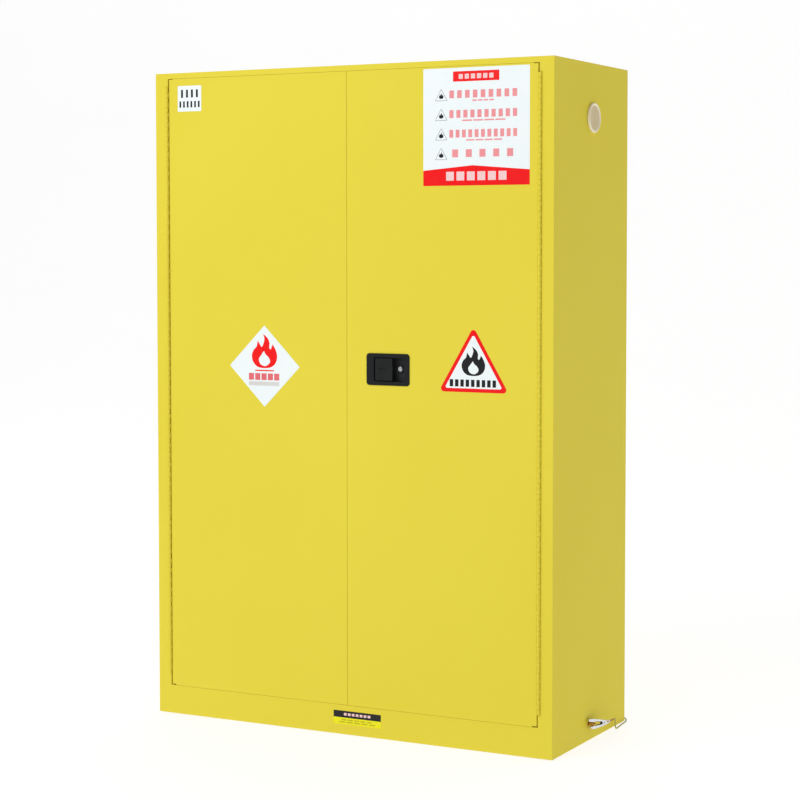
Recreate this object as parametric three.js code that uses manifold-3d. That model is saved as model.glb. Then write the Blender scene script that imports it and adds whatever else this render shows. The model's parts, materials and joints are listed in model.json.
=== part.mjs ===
// Two-door flammable storage cabinet: a double-walled steel carcass with a spill sump, two
// double-walled doors on continuous hinges, a three-point paddle latch with a key lock, two
// removable spill shelves, two capped vents, levelling feet and an earthing lead.
// Millimetres, +Z up, doors facing -Y. The origin is on the floor, below the carcass's middle.

import * as THREE from 'three';
import { mergeVertices } from 'three/addons/utils/BufferGeometryUtils.js';
import Module from 'manifold-3d';

const wasm = await Module();
wasm.setup();

// ---------------------------------------------------------------- driving dimensions

const WIDTH = 1110;
const DEPTH = 460;
const HEIGHT = 1650;
const SHEET = 1.2; // steel gauge of every panel
const GAP = 0.3; // between pieces that touch
const SKIRT_Z = 3; // lower edge of the panels above the floor

const SIDE_X = WIDTH / 2;
const FRONT_Y = -DEPTH / 2;
const BACK_Y = DEPTH / 2;

const REBATE_X = 525; // frame opening beside the hinges, from the middle
const LIP_X = 518; // frame opening above and below the hinges
const OPENING_Z = [76, 1636];
const STOP_Y = -188; // front face of the flange that the doors close on
const STOP_X = 498;
const STOP_Z = [141, 1612];

const DOOR_X = 515; // outer edge of each door
const DOOR_Z = [78.5, 1634.5];
const DOOR_BACK_Y = -190;
const SEAM = { x: 4.5, half: 1.3 }; // gap between the two doors

const HINGE = { x: 520, y: -232, radius: 4, pinRadius: 1.5, boreRadius: 1.8, z: [107.5, 1613.5] };
HINGE.knuckles = 11;
HINGE.leafThickness = 1.1;
HINGE.leafBackY = -204;

const LINER_X = 515; // outer face of the inner side panels
const LINER_BACK_Y = 190;
const SUMP_FLOOR_Z = 90;

const BASE_FLOOR_Z = 50;
const FOOT = { x: 500, frontY: -160, backY: 195, padRadius: 20, studRadius: 5, studTop: 64 };

const STANDARD = { y: 150, width: 25, x: [503, 513.5], z: [150, 1600], slotPitch: 75 };
STANDARD.firstSlotZ = 195;
const SHELF = { x: 497, y: [-178, 180], wall: 28, levels: { lower: 600, upper: 1110 } };

const VENT = { y: 3, z: { right: 1519, left: 215 }, holeRadius: 27, boreRadius: 25 };

const LATCH = { x: [60, 178], z: [872, 950], corner: 8 };
LATCH.pocketX = [81, 163];
LATCH.pocketZ = [882, 940];
LATCH.frontY = -232.6;
LATCH.floorY = -209.6; // front face of the pocket's floor
LATCH.wall = 1.6;
const PADDLE = { axisX: 86, axisY: -227.5, freeX: 131, z: [884, 938], armZ: [884, 890] };
const CAM = { x: 101, z: 911, y: [-205, -202.5], angle: 20, rodArm: 22, boltArm: 19, tip: 30 };
CAM.pinRadius = 2.5;
const KEY = { x: 143.5, z: 912, radius: 5.75 };
const ROD = { y: -198, radius: 4 };
const PLATE_Y = { bolt: [-201.9, -199.9], rod: [-199, -197] };

const LABEL_THICKNESS = 0.4;

const STUD = { y: -7, z: 45 }; // earth stud on the right side
const CLIP = { standOff: 11, yaw: 17, pivotU: 40, pivotZ: -4, wireU: 66 };
const WIRE_RADIUS = 1.8;
const COIL = { x: 498, y: 263, radius: 19.5, columns: 5, layers: 2 };

// ---------------------------------------------------------------- geometry helpers

const span = (middle, half) => [middle - half, middle + half];
const outline = (points) => new THREE.Shape(points.map(([u, v]) => new THREE.Vector2(u, v)));
const radians = THREE.MathUtils.degToRad;

function box([x0, x1], [y0, y1], [z0, z1]) {
  const geometry = new THREE.BoxGeometry(x1 - x0, y1 - y0, z1 - z0);
  return geometry.translate((x0 + x1) / 2, (y0 + y1) / 2, (z0 + z1) / 2);
}

function extrude(shape, depth) {
  return new THREE.ExtrudeGeometry(shape, { depth, bevelEnabled: false, curveSegments: 5 });
}

function extrudeAlong(shape, [start, end], u, v, w) {
  const turn = new THREE.Matrix4().makeBasis(u, v, w);
  return extrude(shape, end - start).translate(0, 0, start).applyMatrix4(turn);
}

const X = new THREE.Vector3(1, 0, 0);
const Y = new THREE.Vector3(0, 1, 0);
const Z = new THREE.Vector3(0, 0, 1);

const alongZ = (shape, range) => extrudeAlong(shape, range, X, Y, Z); // shape in X and Y
// shape in X and Z
const alongY = (shape, [y0, y1]) => extrudeAlong(shape, [-y1, -y0], X, Z, Y.clone().negate());

// A round bar along one axis; its centre is given in the other two, in X, Y, Z order.
function bar(axis, radius, [start, end], [a, b], sides = 16) {
  const rod = new THREE.CylinderGeometry(radius, radius, end - start, sides);
  const middle = (start + end) / 2;
  if (axis === 'x') return rod.rotateZ(-Math.PI / 2).translate(middle, a, b);
  if (axis === 'z') return rod.rotateX(Math.PI / 2).translate(a, b, middle);
  return rod.translate(a, middle, b);
}

// A turned piece about the local Z axis, from a profile of [radius, z] points.
function turned(profile, sides) {
  const points = profile.map(([radius, z]) => new THREE.Vector2(radius, z));
  return new THREE.LatheGeometry(points, sides).rotateX(Math.PI / 2);
}

function roundedRectangle([u0, u1], [v0, v1], radius) {
  const shape = new THREE.Shape();
  shape.moveTo(u0 + radius, v0);
  shape.absarc(u1 - radius, v0 + radius, radius, -Math.PI / 2, 0);
  shape.absarc(u1 - radius, v1 - radius, radius, 0, Math.PI / 2);
  shape.absarc(u0 + radius, v1 - radius, radius, Math.PI / 2, Math.PI);
  shape.absarc(u0 + radius, v0 + radius, radius, Math.PI, 1.5 * Math.PI);
  return shape;
}

function signedVolume(geometry) {
  const position = geometry.attributes.position;
  const count = geometry.index ? geometry.index.count : position.count;
  const corner = (i) => {
    const index = geometry.index ? geometry.index.getX(i) : i;
    return new THREE.Vector3().fromBufferAttribute(position, index);
  };
  let volume = 0;
  for (let i = 0; i < count; i += 3) {
    volume += corner(i).dot(corner(i + 1).cross(corner(i + 2))) / 6;
  }
  return volume;
}

// Shared vertices are merged and every face is turned outward.
function closed(geometry) {
  const bare = geometry.clone();
  bare.deleteAttribute('normal');
  bare.deleteAttribute('uv');
  const merged = mergeVertices(bare);
  if (signedVolume(merged) < 0) {
    merged.index.array.reverse();
  }
  return merged;
}

function toSolid(geometry) {
  const merged = closed(geometry);
  const vertProperties = merged.attributes.position.array;
  const triVerts = Uint32Array.from(merged.index.array);
  return new wasm.Manifold(new wasm.Mesh({ numProp: 3, vertProperties, triVerts }));
}

function toGeometry(solid) {
  const mesh = solid.getMesh();
  const geometry = new THREE.BufferGeometry();
  geometry.setAttribute('position', new THREE.BufferAttribute(mesh.vertProperties, 3));
  geometry.setIndex(new THREE.BufferAttribute(mesh.triVerts, 1));
  return geometry;
}

function join(...geometries) {
  return toGeometry(geometries.map(toSolid).reduce((sum, next) => sum.add(next)));
}

function cut(body, ...tools) {
  return toGeometry(tools.map(toSolid).reduce((rest, tool) => rest.subtract(tool), toSolid(body)));
}

const mirrorX = (geometry, side) => geometry.clone().scale(side, 1, 1);

const SIDES = { right: 1, left: -1 };

// ---------------------------------------------------------------- materials

const finish = (color, roughness, metalness) => () =>
  new THREE.MeshStandardMaterial({ color, roughness, metalness });

const yellowPaint = finish(0xe6d64a, 0.5, 0.1);
const zincSteel = finish(0xb9bcbd, 0.4, 0.9);
const darkSteel = finish(0x6f7274, 0.45, 0.9);
const blackPlastic = finish(0x26282b, 0.45, 0);
const chrome = finish(0xe8e8ea, 0.12, 1);
const creamPlastic = finish(0xe7dcb8, 0.45, 0);
const brass = finish(0xc9a04a, 0.3, 1);
const earthSheath = finish(0xb7b526, 0.5, 0);
const whiteVinyl = finish(0xf6f6f4, 0.35, 0);
const redVinyl = finish(0xd8202a, 0.35, 0);
const blackVinyl = finish(0x1c1c1c, 0.35, 0);

const cabinet = new THREE.Group();

function add(name, geometry, material) {
  const mesh = new THREE.Mesh(closed(geometry), material());
  mesh.name = name;
  cabinet.add(mesh);
}

// ---------------------------------------------------------------- carcass

// One bent sheet: side wall, front face, rebate beside the door, and the flange behind it.
function outerSide(side) {
  const inside = SIDE_X - SHEET;
  const wrap = alongZ(outline([
    [SIDE_X, BACK_Y - SHEET - GAP],
    [SIDE_X, FRONT_Y],
    [REBATE_X, FRONT_Y],
    [REBATE_X, STOP_Y],
    [STOP_X, STOP_Y],
    [STOP_X, STOP_Y + SHEET],
    [REBATE_X + SHEET, STOP_Y + SHEET],
    [REBATE_X + SHEET, FRONT_Y + SHEET],
    [inside, FRONT_Y + SHEET],
    [inside, BACK_Y - SHEET - GAP],
  ]), [SKIRT_Z, HEIGHT - SHEET - GAP]);
  const lipRanges = [
    [OPENING_Z[0] + GAP, HINGE.z[0] - 0.5],
    [HINGE.z[1] + 0.5, OPENING_Z[1] - GAP],
  ];
  const lips = lipRanges.flatMap((z) => [
    box([LIP_X, REBATE_X + SHEET], [FRONT_Y, FRONT_Y + SHEET], z),
    box([LIP_X, LIP_X + SHEET], [FRONT_Y, STOP_Y + SHEET], z),
  ]);
  const ventZ = side > 0 ? VENT.z.right : VENT.z.left;
  const hole = bar('x', VENT.holeRadius, [inside - 1, SIDE_X + 1], [VENT.y, ventZ], 20);
  return mirrorX(cut(join(wrap, ...lips), hole), side);
}

// The inner wall, pierced by a rose of small holes at the end of the vent tube.
function innerSide(side) {
  const x = [LINER_X - SHEET, LINER_X];
  const panel = box(x, [STOP_Y + SHEET + GAP, LINER_BACK_Y], [SUMP_FLOOR_Z - 1, STOP_Z[1]]);
  const ventZ = side > 0 ? VENT.z.right : VENT.z.left;
  const holes = [];
  for (const [radius, count] of [[5, 6], [10, 12], [15, 18]]) {
    for (let i = 0; i < count; i += 1) {
      const angle = (2 * Math.PI * i) / count;
      const at = [VENT.y + radius * Math.cos(angle), ventZ + radius * Math.sin(angle)];
      holes.push(bar('x', 0.6, [x[0] - 1, x[1] + 1], at, 6));
    }
  }
  return mirrorX(cut(panel, ...holes), side);
}

// A front rail: its face, the rebate beside the doors, the flange behind them, one strike hole.
function frontRail(face, rebate, flange, strikeX) {
  const x = span(0, REBATE_X - GAP);
  const strike = bar('z', ROD.radius + 2, [rebate[0] - 1, rebate[1] + 1], [strikeX, ROD.y], 16);
  const rail = join(
    box(x, [FRONT_Y, FRONT_Y + SHEET], face),
    box(x, [FRONT_Y, STOP_Y - GAP], rebate),
    box(span(0, STOP_X - GAP), [STOP_Y - 0.5, STOP_Y + SHEET], flange),
  );
  return cut(rail, strike);
}

function baseFloor() {
  const y = [STOP_Y + SHEET + GAP, BACK_Y - SHEET - GAP];
  const plate = box(span(0, SIDE_X - SHEET - GAP), y, [BASE_FLOOR_Z, BASE_FLOOR_Z + SHEET]);
  const places = footPlaces().map(({ x, y: footY }) => [x, footY]);
  const nuts = places.map((at) => bar('z', 11, [BASE_FLOOR_Z - 8, BASE_FLOOR_Z + 0.5], at, 6));
  const bores = places.map((at) => bar('z', 5.5, [BASE_FLOOR_Z - 9, BASE_FLOOR_Z + 5], at, 12));
  return cut(join(plate, ...nuts), ...bores);
}

function sumpTray() {
  const x = LINER_X - SHEET - GAP;
  const y = [STOP_Y + SHEET + GAP, LINER_BACK_Y];
  const outer = box([-x, x], y, [SUMP_FLOOR_Z, STOP_Z[0]]);
  const inner = box(
    span(0, x - SHEET),
    [y[0] + SHEET, y[1] - SHEET],
    [SUMP_FLOOR_Z + SHEET, STOP_Z[0] + 1],
  );
  return cut(outer, inner);
}

function addCarcass() {
  for (const [name, side] of Object.entries(SIDES)) {
    add(`outer_side_${name}`, outerSide(side), yellowPaint);
    add(`inner_side_${name}`, innerSide(side), yellowPaint);
  }
  const panelZ = [SKIRT_Z, HEIGHT - SHEET - GAP];
  add('outer_back', box(span(0, SIDE_X), [BACK_Y - SHEET, BACK_Y], panelZ), yellowPaint);
  const topZ = [HEIGHT - SHEET, HEIGHT];
  add('outer_top', box(span(0, SIDE_X), [FRONT_Y, BACK_Y], topZ), yellowPaint);
  const headRail = frontRail(
    [OPENING_Z[1], HEIGHT - SHEET - GAP],
    [OPENING_Z[1], OPENING_Z[1] + SHEET],
    [STOP_Z[1], OPENING_Z[1] + SHEET],
    rodX('top'),
  );
  add('head_rail', headRail, yellowPaint);
  const baseRail = frontRail(
    [SKIRT_Z, OPENING_Z[0]],
    [OPENING_Z[0] - SHEET, OPENING_Z[0]],
    [OPENING_Z[0] - SHEET, STOP_Z[0]],
    rodX('bottom'),
  );
  add('base_rail', baseRail, yellowPaint);
  add('base_floor', baseFloor(), yellowPaint);
  const backY = [LINER_BACK_Y + GAP, LINER_BACK_Y + GAP + SHEET];
  const linerZ = [SUMP_FLOOR_Z - 1, STOP_Z[1]];
  add('inner_back', box(span(0, LINER_X), backY, linerZ), yellowPaint);
  const ceilingZ = [STOP_Z[1] + GAP, STOP_Z[1] + GAP + SHEET];
  const ceilingY = [STOP_Y + SHEET + GAP, backY[1]];
  add('inner_top', box(span(0, LINER_X), ceilingY, ceilingZ), yellowPaint);
  add('sump_tray', sumpTray(), yellowPaint);
}

// ---------------------------------------------------------------- feet

function footPlaces() {
  return [
    { name: 'front_left', x: -FOOT.x, y: FOOT.frontY },
    { name: 'front_right', x: FOOT.x, y: FOOT.frontY },
    { name: 'back_left', x: -FOOT.x, y: FOOT.backY },
    { name: 'back_right', x: FOOT.x, y: FOOT.backY },
  ];
}

function addFeet() {
  const profile = [
    [0, 0],
    [FOOT.padRadius, 0],
    [FOOT.padRadius, 5],
    [9, 11],
    [9, 17],
    [FOOT.studRadius, 17],
    [FOOT.studRadius, FOOT.studTop],
    [0, FOOT.studTop],
  ];
  for (const { name, x, y } of footPlaces()) {
    add(`foot_${name}`, turned(profile, 16).translate(x, y, 0), zincSteel);
  }
}

// ---------------------------------------------------------------- shelving

function slotHeights() {
  const heights = [];
  for (let z = STANDARD.firstSlotZ; z < STANDARD.z[1]; z += STANDARD.slotPitch) {
    heights.push(z);
  }
  return heights;
}

// A slotted channel, open towards the liner, for the hooks of the shelf rails.
function shelfStandard(side, y) {
  const [faceX, backX] = STANDARD.x;
  const half = STANDARD.width / 2;
  const channel = alongZ(outline([
    [faceX, y - half],
    [backX, y - half],
    [backX, y - half + SHEET],
    [faceX + SHEET, y - half + SHEET],
    [faceX + SHEET, y + half - SHEET],
    [backX, y + half - SHEET],
    [backX, y + half],
    [faceX, y + half],
  ]), STANDARD.z);
  const slots = slotHeights().map((z) => box(span(faceX, 2), span(y, 2), span(z, 7)));
  return mirrorX(cut(channel, ...slots), side);
}

// An angle under each end of a shelf, hooked into both standards of that side.
function shelfRail(side, level) {
  const faceX = STANDARD.x[0] - GAP;
  const top = level - GAP;
  const angle = alongY(outline([
    [faceX - 30, top],
    [faceX, top],
    [faceX, top - 30],
    [faceX - SHEET, top - 30],
    [faceX - SHEET, top - SHEET],
    [faceX - 30, top - SHEET],
  ]), [-172, 172]);
  const slotZ = slotHeights().filter((z) => z < top - 10).pop();
  const hooks = [-STANDARD.y, STANDARD.y].flatMap((y) => [
    box([faceX - 0.5, faceX + 4.5], span(y, 1.2), span(slotZ, 4)),
    box([faceX + 2.5, faceX + 4.5], span(y, 1.2), [slotZ - 10, slotZ + 4]),
  ]);
  return mirrorX(join(angle, ...hooks), side);
}

function spillShelf(level) {
  const outer = box(span(0, SHELF.x), SHELF.y, [level, level + SHELF.wall]);
  const inner = box(
    span(0, SHELF.x - SHEET),
    [SHELF.y[0] + SHEET, SHELF.y[1] - SHEET],
    [level + SHEET, level + SHELF.wall + 1],
  );
  return cut(outer, inner);
}

function addShelving() {
  for (const [name, side] of Object.entries(SIDES)) {
    add(`shelf_standard_front_${name}`, shelfStandard(side, -STANDARD.y), zincSteel);
    add(`shelf_standard_back_${name}`, shelfStandard(side, STANDARD.y), zincSteel);
    for (const [height, level] of Object.entries(SHELF.levels)) {
      add(`shelf_rail_${height}_${name}`, shelfRail(side, level), zincSteel);
    }
  }
  for (const [height, level] of Object.entries(SHELF.levels)) {
    add(`shelf_${height}`, spillShelf(level), zincSteel);
  }
}

// ---------------------------------------------------------------- vents

// Turned about the vent's axis; z = 0 is the outer face of the side wall, +z is outward.
function ventTube() {
  const inner = -(SIDE_X - LINER_X) + GAP;
  return turned([
    [VENT.boreRadius, inner],
    [VENT.holeRadius - GAP, inner],
    [VENT.holeRadius - GAP, GAP],
    [34, GAP],
    [34, GAP + 1.5],
    [VENT.boreRadius, GAP + 1.5],
    [VENT.boreRadius, inner],
  ], 20);
}

function ventCap() {
  const base = GAP + 1.5 + GAP;
  return turned([
    [0, base],
    [22, base],
    [22, base - 11],
    [VENT.boreRadius - 0.5, base - 11],
    [VENT.boreRadius - 0.5, base],
    [35.5, base],
    [36, base + 3.2],
    [34.5, base + 4.7],
    [31.5, base + 4.7],
    [30.2, base + 2.6],
    [0, base + 2.6],
  ], 24);
}

function addVents() {
  for (const [name, side] of Object.entries(SIDES)) {
    const place = (geometry) => {
      const onRight = geometry.rotateY(Math.PI / 2).translate(SIDE_X, VENT.y, VENT.z[name]);
      return mirrorX(onRight, side);
    };
    add(`vent_tube_${name}`, place(ventTube()), darkSteel);
    add(`vent_cap_${name}`, place(ventCap()), creamPlastic);
  }
}

// ---------------------------------------------------------------- hinges

// A leaf with every second knuckle, for the right side: way is -1 for the door's leaf and 1 for
// the frame's.
function hingeLeaf(side, way) {
  const pitch = (HINGE.z[1] - HINGE.z[0]) / HINGE.knuckles;
  const face = HINGE.x + way * (HINGE.radius + 0.7);
  const acrossX = (depth) => [face, face - way * depth].sort((a, b) => a - b);
  const plateY = [HINGE.y + 2.6, HINGE.leafBackY];
  const pieces = [box(acrossX(HINGE.leafThickness), plateY, HINGE.z)];
  for (let i = way < 0 ? 1 : 0; i < HINGE.knuckles; i += 2) {
    const z = [HINGE.z[0] + i * pitch + 0.25, HINGE.z[0] + (i + 1) * pitch - 0.25];
    pieces.push(bar('z', HINGE.radius, z, [HINGE.x, HINGE.y], 12));
    pieces.push(box(acrossX(2.5), [HINGE.y - 1, HINGE.y + 3.3], z));
  }
  const boreZ = [HINGE.z[0] - 1, HINGE.z[1] + 1];
  const bore = bar('z', HINGE.boreRadius, boreZ, [HINGE.x, HINGE.y], 8);
  return mirrorX(cut(join(...pieces), bore), side);
}

function addHinges() {
  for (const [name, side] of Object.entries(SIDES)) {
    add(`hinge_leaf_frame_${name}`, hingeLeaf(side, 1), yellowPaint);
    add(`hinge_leaf_door_${name}`, hingeLeaf(side, -1), yellowPaint);
    const pin = bar('z', HINGE.pinRadius, HINGE.z, [side * HINGE.x, HINGE.y], 8);
    add(`hinge_pin_${name}`, pin, darkSteel);
  }
}

// ---------------------------------------------------------------- doors

function doorRange(name) {
  return name === 'right' ? [SEAM.x + SEAM.half, DOOR_X] : [-DOOR_X, SEAM.x - SEAM.half];
}

// Face and four edges folded back, one sheet.
function doorPan([x0, x1]) {
  const outer = box([x0, x1], [FRONT_Y, DOOR_BACK_Y], DOOR_Z);
  const inner = box(
    [x0 + SHEET, x1 - SHEET],
    [FRONT_Y + SHEET, DOOR_BACK_Y + 1],
    [DOOR_Z[0] + SHEET, DOOR_Z[1] - SHEET],
  );
  return cut(outer, inner);
}

function doorSkin(name) {
  const range = doorRange(name);
  const boltHole = box(span(SEAM.x, 6), span((PLATE_Y.bolt[0] + PLATE_Y.bolt[1]) / 2, 2.5),
    span(boltZ(), 6.5));
  if (name === 'left') return cut(doorPan(range), boltHole);
  const clear = LATCH.wall + 0.9;
  return cut(
    doorPan(range),
    boltHole,
    box(
      [LATCH.pocketX[0] - clear, LATCH.pocketX[1] + clear],
      [FRONT_Y - 1, FRONT_Y + 5],
      [LATCH.pocketZ[0] - clear, LATCH.pocketZ[1] + clear],
    ),
    bar('z', ROD.radius + 1, [DOOR_Z[1] - 3, DOOR_Z[1] + 1], [rodX('top'), ROD.y], 16),
    bar('z', ROD.radius + 1, [DOOR_Z[0] - 1, DOOR_Z[0] + 3], [rodX('bottom'), ROD.y], 16),
  );
}

function addDoors() {
  const inset = SHEET + GAP;
  for (const name of Object.keys(SIDES)) {
    const [x0, x1] = doorRange(name);
    add(`door_skin_${name}`, doorSkin(name), yellowPaint);
    const panel = box(
      [x0 + inset, x1 - inset],
      [DOOR_BACK_Y - SHEET, DOOR_BACK_Y],
      [DOOR_Z[0] + inset, DOOR_Z[1] - inset],
    );
    add(`door_inner_panel_${name}`, panel, yellowPaint);
  }
}

// ---------------------------------------------------------------- latch

function rodX(which) {
  return which === 'top' ? CAM.x - CAM.rodArm : CAM.x + CAM.rodArm;
}

// Height of the bolt: the middle of its pin's path.
function boltZ() {
  return CAM.z - (CAM.boltArm * (1 + Math.cos(radians(CAM.angle)))) / 2;
}

// Places of the cam's three pins at rest, from the cam's own axis.
function camPins() {
  const angle = radians(CAM.angle);
  const across = CAM.rodArm * Math.cos(angle);
  const up = CAM.rodArm * Math.sin(angle);
  return {
    top: [CAM.x - across, CAM.z + up],
    bottom: [CAM.x + across, CAM.z - up],
    bolt: [CAM.x - CAM.boltArm * Math.sin(angle), CAM.z - CAM.boltArm * Math.cos(angle)],
  };
}

function latchDish() {
  const backY = LATCH.floorY + LATCH.wall;
  const pocket = (inset, y) => box(
    [LATCH.pocketX[0] - inset, LATCH.pocketX[1] + inset],
    y,
    [LATCH.pocketZ[0] - inset, LATCH.pocketZ[1] + inset],
  );
  const bezel = alongY(
    roundedRectangle(LATCH.x, LATCH.z, LATCH.corner),
    [LATCH.frontY, FRONT_Y - GAP],
  );
  const body = join(
    bezel,
    pocket(LATCH.wall, [LATCH.frontY + 1, backY]),
    bar('y', 8, [backY - 0.5, CAM.y[0] - GAP], [CAM.x, CAM.z], 16),
    bar('y', 4, [backY - 0.5, ROD.y + 2.4], [CAM.x, CAM.z], 12),
  );
  const hollow = cut(body, pocket(0, [LATCH.frontY - 1, LATCH.floorY]));
  const armSlotZ = [PADDLE.armZ[0] - 1, PADDLE.armZ[1] + 1];
  const collar = bar('y', 9.5, [LATCH.floorY - 4.4, LATCH.floorY + 0.5], [KEY.x, KEY.z], 16);
  return cut(
    join(hollow, collar),
    bar('y', KEY.radius + 0.3, [LATCH.floorY - 6, backY + 1], [KEY.x, KEY.z], 16),
    box([LATCH.pocketX[0], 106], [LATCH.floorY - 1, backY + 1], armSlotZ),
    bar('z', 1.9, [LATCH.pocketZ[0] - 5, LATCH.pocketZ[1] + 5], [PADDLE.axisX, PADDLE.axisY], 12),
  );
}

function paddle() {
  const axis = [PADDLE.axisX, PADDLE.axisY];
  const plate = box(
    [PADDLE.axisX - 2.5, PADDLE.freeX],
    [PADDLE.axisY - 3.7, PADDLE.axisY - 0.2],
    PADDLE.z,
  );
  const turnedEdge = box(
    [PADDLE.freeX - 2.5, PADDLE.freeX],
    [PADDLE.axisY - 3.7, PADDLE.axisY + 3],
    PADDLE.z,
  );
  return join(
    plate,
    turnedEdge,
    bar('z', 3, PADDLE.z, axis, 12),
    bar('z', 1.5, [LATCH.pocketZ[0] - 1.3, LATCH.pocketZ[1] + 1.3], axis, 12),
    box([PADDLE.axisX - 4.5, PADDLE.axisX - 0.2], [PADDLE.axisY, CAM.y[1] + 0.2], PADDLE.armZ),
  );
}

function keyCylinder() {
  const frontY = LATCH.floorY - 5.4;
  const backY = LATCH.floorY + LATCH.wall;
  const plug = bar('y', KEY.radius, [frontY, backY + 1.2], [KEY.x, KEY.z], 16);
  const tongue = box(span(KEY.x, 4), [backY + 0.6, backY + 2.4], [KEY.z - 13, KEY.z + 4]);
  const keyway = box(span(KEY.x, 0.6), [frontY - 1, frontY + 1.8], span(KEY.z, 2.8));
  return cut(join(plug, tongue), keyway);
}

// Hub with three arms, and a pin near the end of each arm for the rods and the bolt.
function latchCam() {
  const arm = (angle, length) => {
    const blade = box([-4.5, 4.5], CAM.y, [-length, 0]);
    return blade.rotateY(radians(angle)).translate(CAM.x, 0, CAM.z);
  };
  const pins = camPins();
  const hub = join(
    bar('y', 9, CAM.y, [CAM.x, CAM.z], 16),
    arm(CAM.angle, CAM.tip),
    arm(CAM.angle + 90, CAM.rodArm + 5),
    arm(CAM.angle - 90, CAM.rodArm + 5),
    bar('y', CAM.pinRadius, [CAM.y[1] - 0.5, PLATE_Y.bolt[1] + 0.5], pins.bolt, 12),
    bar('y', CAM.pinRadius, [CAM.y[1] - 0.5, PLATE_Y.rod[1] + 0.6], pins.top, 12),
    bar('y', CAM.pinRadius, [CAM.y[1] - 0.5, PLATE_Y.rod[1] + 0.6], pins.bottom, 12),
  );
  return cut(hub, bar('y', 4.3, [CAM.y[0] - 1, CAM.y[1] + 1], [CAM.x, CAM.z], 12));
}

// A round rod with a slotted end plate around its cam pin. way is 1 up, -1 down.
function latchRod(which, way, tipZ) {
  const [pinX, pinZ] = camPins()[which];
  const x = rodX(which);
  const shoulderZ = CAM.z + way * 20;
  const sorted = (a, b) => [Math.min(a, b), Math.max(a, b)];
  const rod = join(
    box(span(x, 7.5), PLATE_Y.rod, sorted(pinZ - way * 6.5, shoulderZ + way * 4)),
    bar('z', ROD.radius, sorted(shoulderZ, tipZ), [x, ROD.y], 12),
  );
  const slotX = sorted(x, pinX);
  const clear = CAM.pinRadius + 0.5;
  return cut(rod, box(
    [slotX[0] - clear, slotX[1] + clear],
    [PLATE_Y.rod[0] - 1, PLATE_Y.rod[1] + 1],
    span(pinZ, clear),
  ));
}

function centreBolt() {
  const [pinX] = camPins().bolt;
  const clear = CAM.pinRadius + 0.5;
  const low = CAM.z - CAM.boltArm;
  const bolt = join(
    box([SEAM.x + SEAM.half + 0.5, pinX], PLATE_Y.bolt, span(boltZ(), 4.5)),
    box(span(pinX, 7.5), PLATE_Y.bolt, span(boltZ(), 7.5)),
  );
  return cut(bolt, box(
    span(pinX, clear),
    [PLATE_Y.bolt[0] - 1, PLATE_Y.bolt[1] + 1],
    [low - clear, 2 * boltZ() - low + clear],
  ));
}

function addLatch() {
  add('latch_dish', latchDish(), blackPlastic);
  add('latch_paddle', paddle(), blackPlastic);
  add('lock_cylinder', keyCylinder(), chrome);
  add('latch_cam', latchCam(), zincSteel);
  add('latch_rod_top', latchRod('top', 1, DOOR_Z[1] - GAP), zincSteel);
  add('latch_rod_bottom', latchRod('bottom', -1, DOOR_Z[0] + GAP), zincSteel);
  add('latch_bolt', centreBolt(), zincSteel);
}

// ---------------------------------------------------------------- labels

// A vinyl label on the front plane.
function label(shape) {
  const backY = FRONT_Y - GAP;
  return alongY(shape, [backY - LABEL_THICKNESS, backY]);
}

// A triangle with round corners, point up.
function roundedTriangle(middleX, baseZ, half, height, radius) {
  const slope = Math.atan2(height, half);
  const inset = radius / Math.tan(slope / 2);
  const shape = new THREE.Shape();
  shape.moveTo(middleX - half + inset, baseZ);
  const cornerZ = baseZ + radius;
  const apexZ = baseZ + height - radius / Math.cos(slope);
  const turn = Math.PI / 2 - slope;
  shape.absarc(middleX + half - inset, cornerZ, radius, -Math.PI / 2, turn);
  shape.absarc(middleX, apexZ, radius, turn, Math.PI - turn);
  shape.absarc(middleX - half + inset, cornerZ, radius, Math.PI - turn, 1.5 * Math.PI);
  return shape;
}

function addLabels() {
  const square = roundedRectangle([-487.5, -416.5], [1552, 1617], 2);
  add('label_square', label(square), whiteVinyl);
  const diamond = outline([[-232, 808], [-130, 910], [-232, 1012], [-334, 910]]);
  add('label_diamond', label(diamond), whiteVinyl);
  const main = roundedRectangle([215, 493.5], [1349.5, 1631.5], 3);
  add('label_main', label(main), whiteVinyl);
  add('label_triangle', label(roundedTriangle(348.5, 863, 92, 156, 8)), redVinyl);
  add('label_base', label(roundedRectangle([-35, 98], [28, 61.5], 1.5)), blackVinyl);
}

// ---------------------------------------------------------------- earthing

// The clip stands askew to the wall: u runs along it to its tail, n points off the wall.
function clipFrame() {
  const yaw = radians(CLIP.yaw);
  const u = new THREE.Vector3(Math.sin(yaw), Math.cos(yaw), 0);
  const n = new THREE.Vector3(Math.cos(yaw), -Math.sin(yaw), 0);
  const frame = new THREE.Matrix4().makeBasis(u, Z, n);
  return frame.setPosition(SIDE_X + CLIP.standOff, STUD.y, STUD.z);
}

const clipPlate = (points, [n0, n1]) => extrude(outline(points), n1 - n0).translate(0, 0, n0);

function clipDisc(radius, n) {
  const disc = new THREE.CylinderGeometry(radius, radius, n[1] - n[0], 12);
  return disc.rotateX(Math.PI / 2).translate(CLIP.pivotU, CLIP.pivotZ, (n[0] + n[1]) / 2);
}

function upperJaw() {
  const strip = [
    [-20, 14.5],
    [-20, 9],
    [-6, 5.6],
    [6, 5.4],
    [20, 3.4],
    [32, 1.6],
    [44, 0.9],
    [56, -1],
    [56, 0.4],
    [44, 2.3],
    [20, 8],
    [0, 12.5],
  ];
  const cheek = [[30, 2], [34, -6], [40, -9], [45, -6], [50, 0]];
  const jaw = join(
    clipPlate(strip, [-4.5, 4.5]),
    clipPlate(cheek, [3.3, 4.5]),
    clipPlate(cheek, [-4.5, -3.3]),
  );
  return cut(jaw, clipDisc(2.1, [-6, 6]));
}

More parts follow.
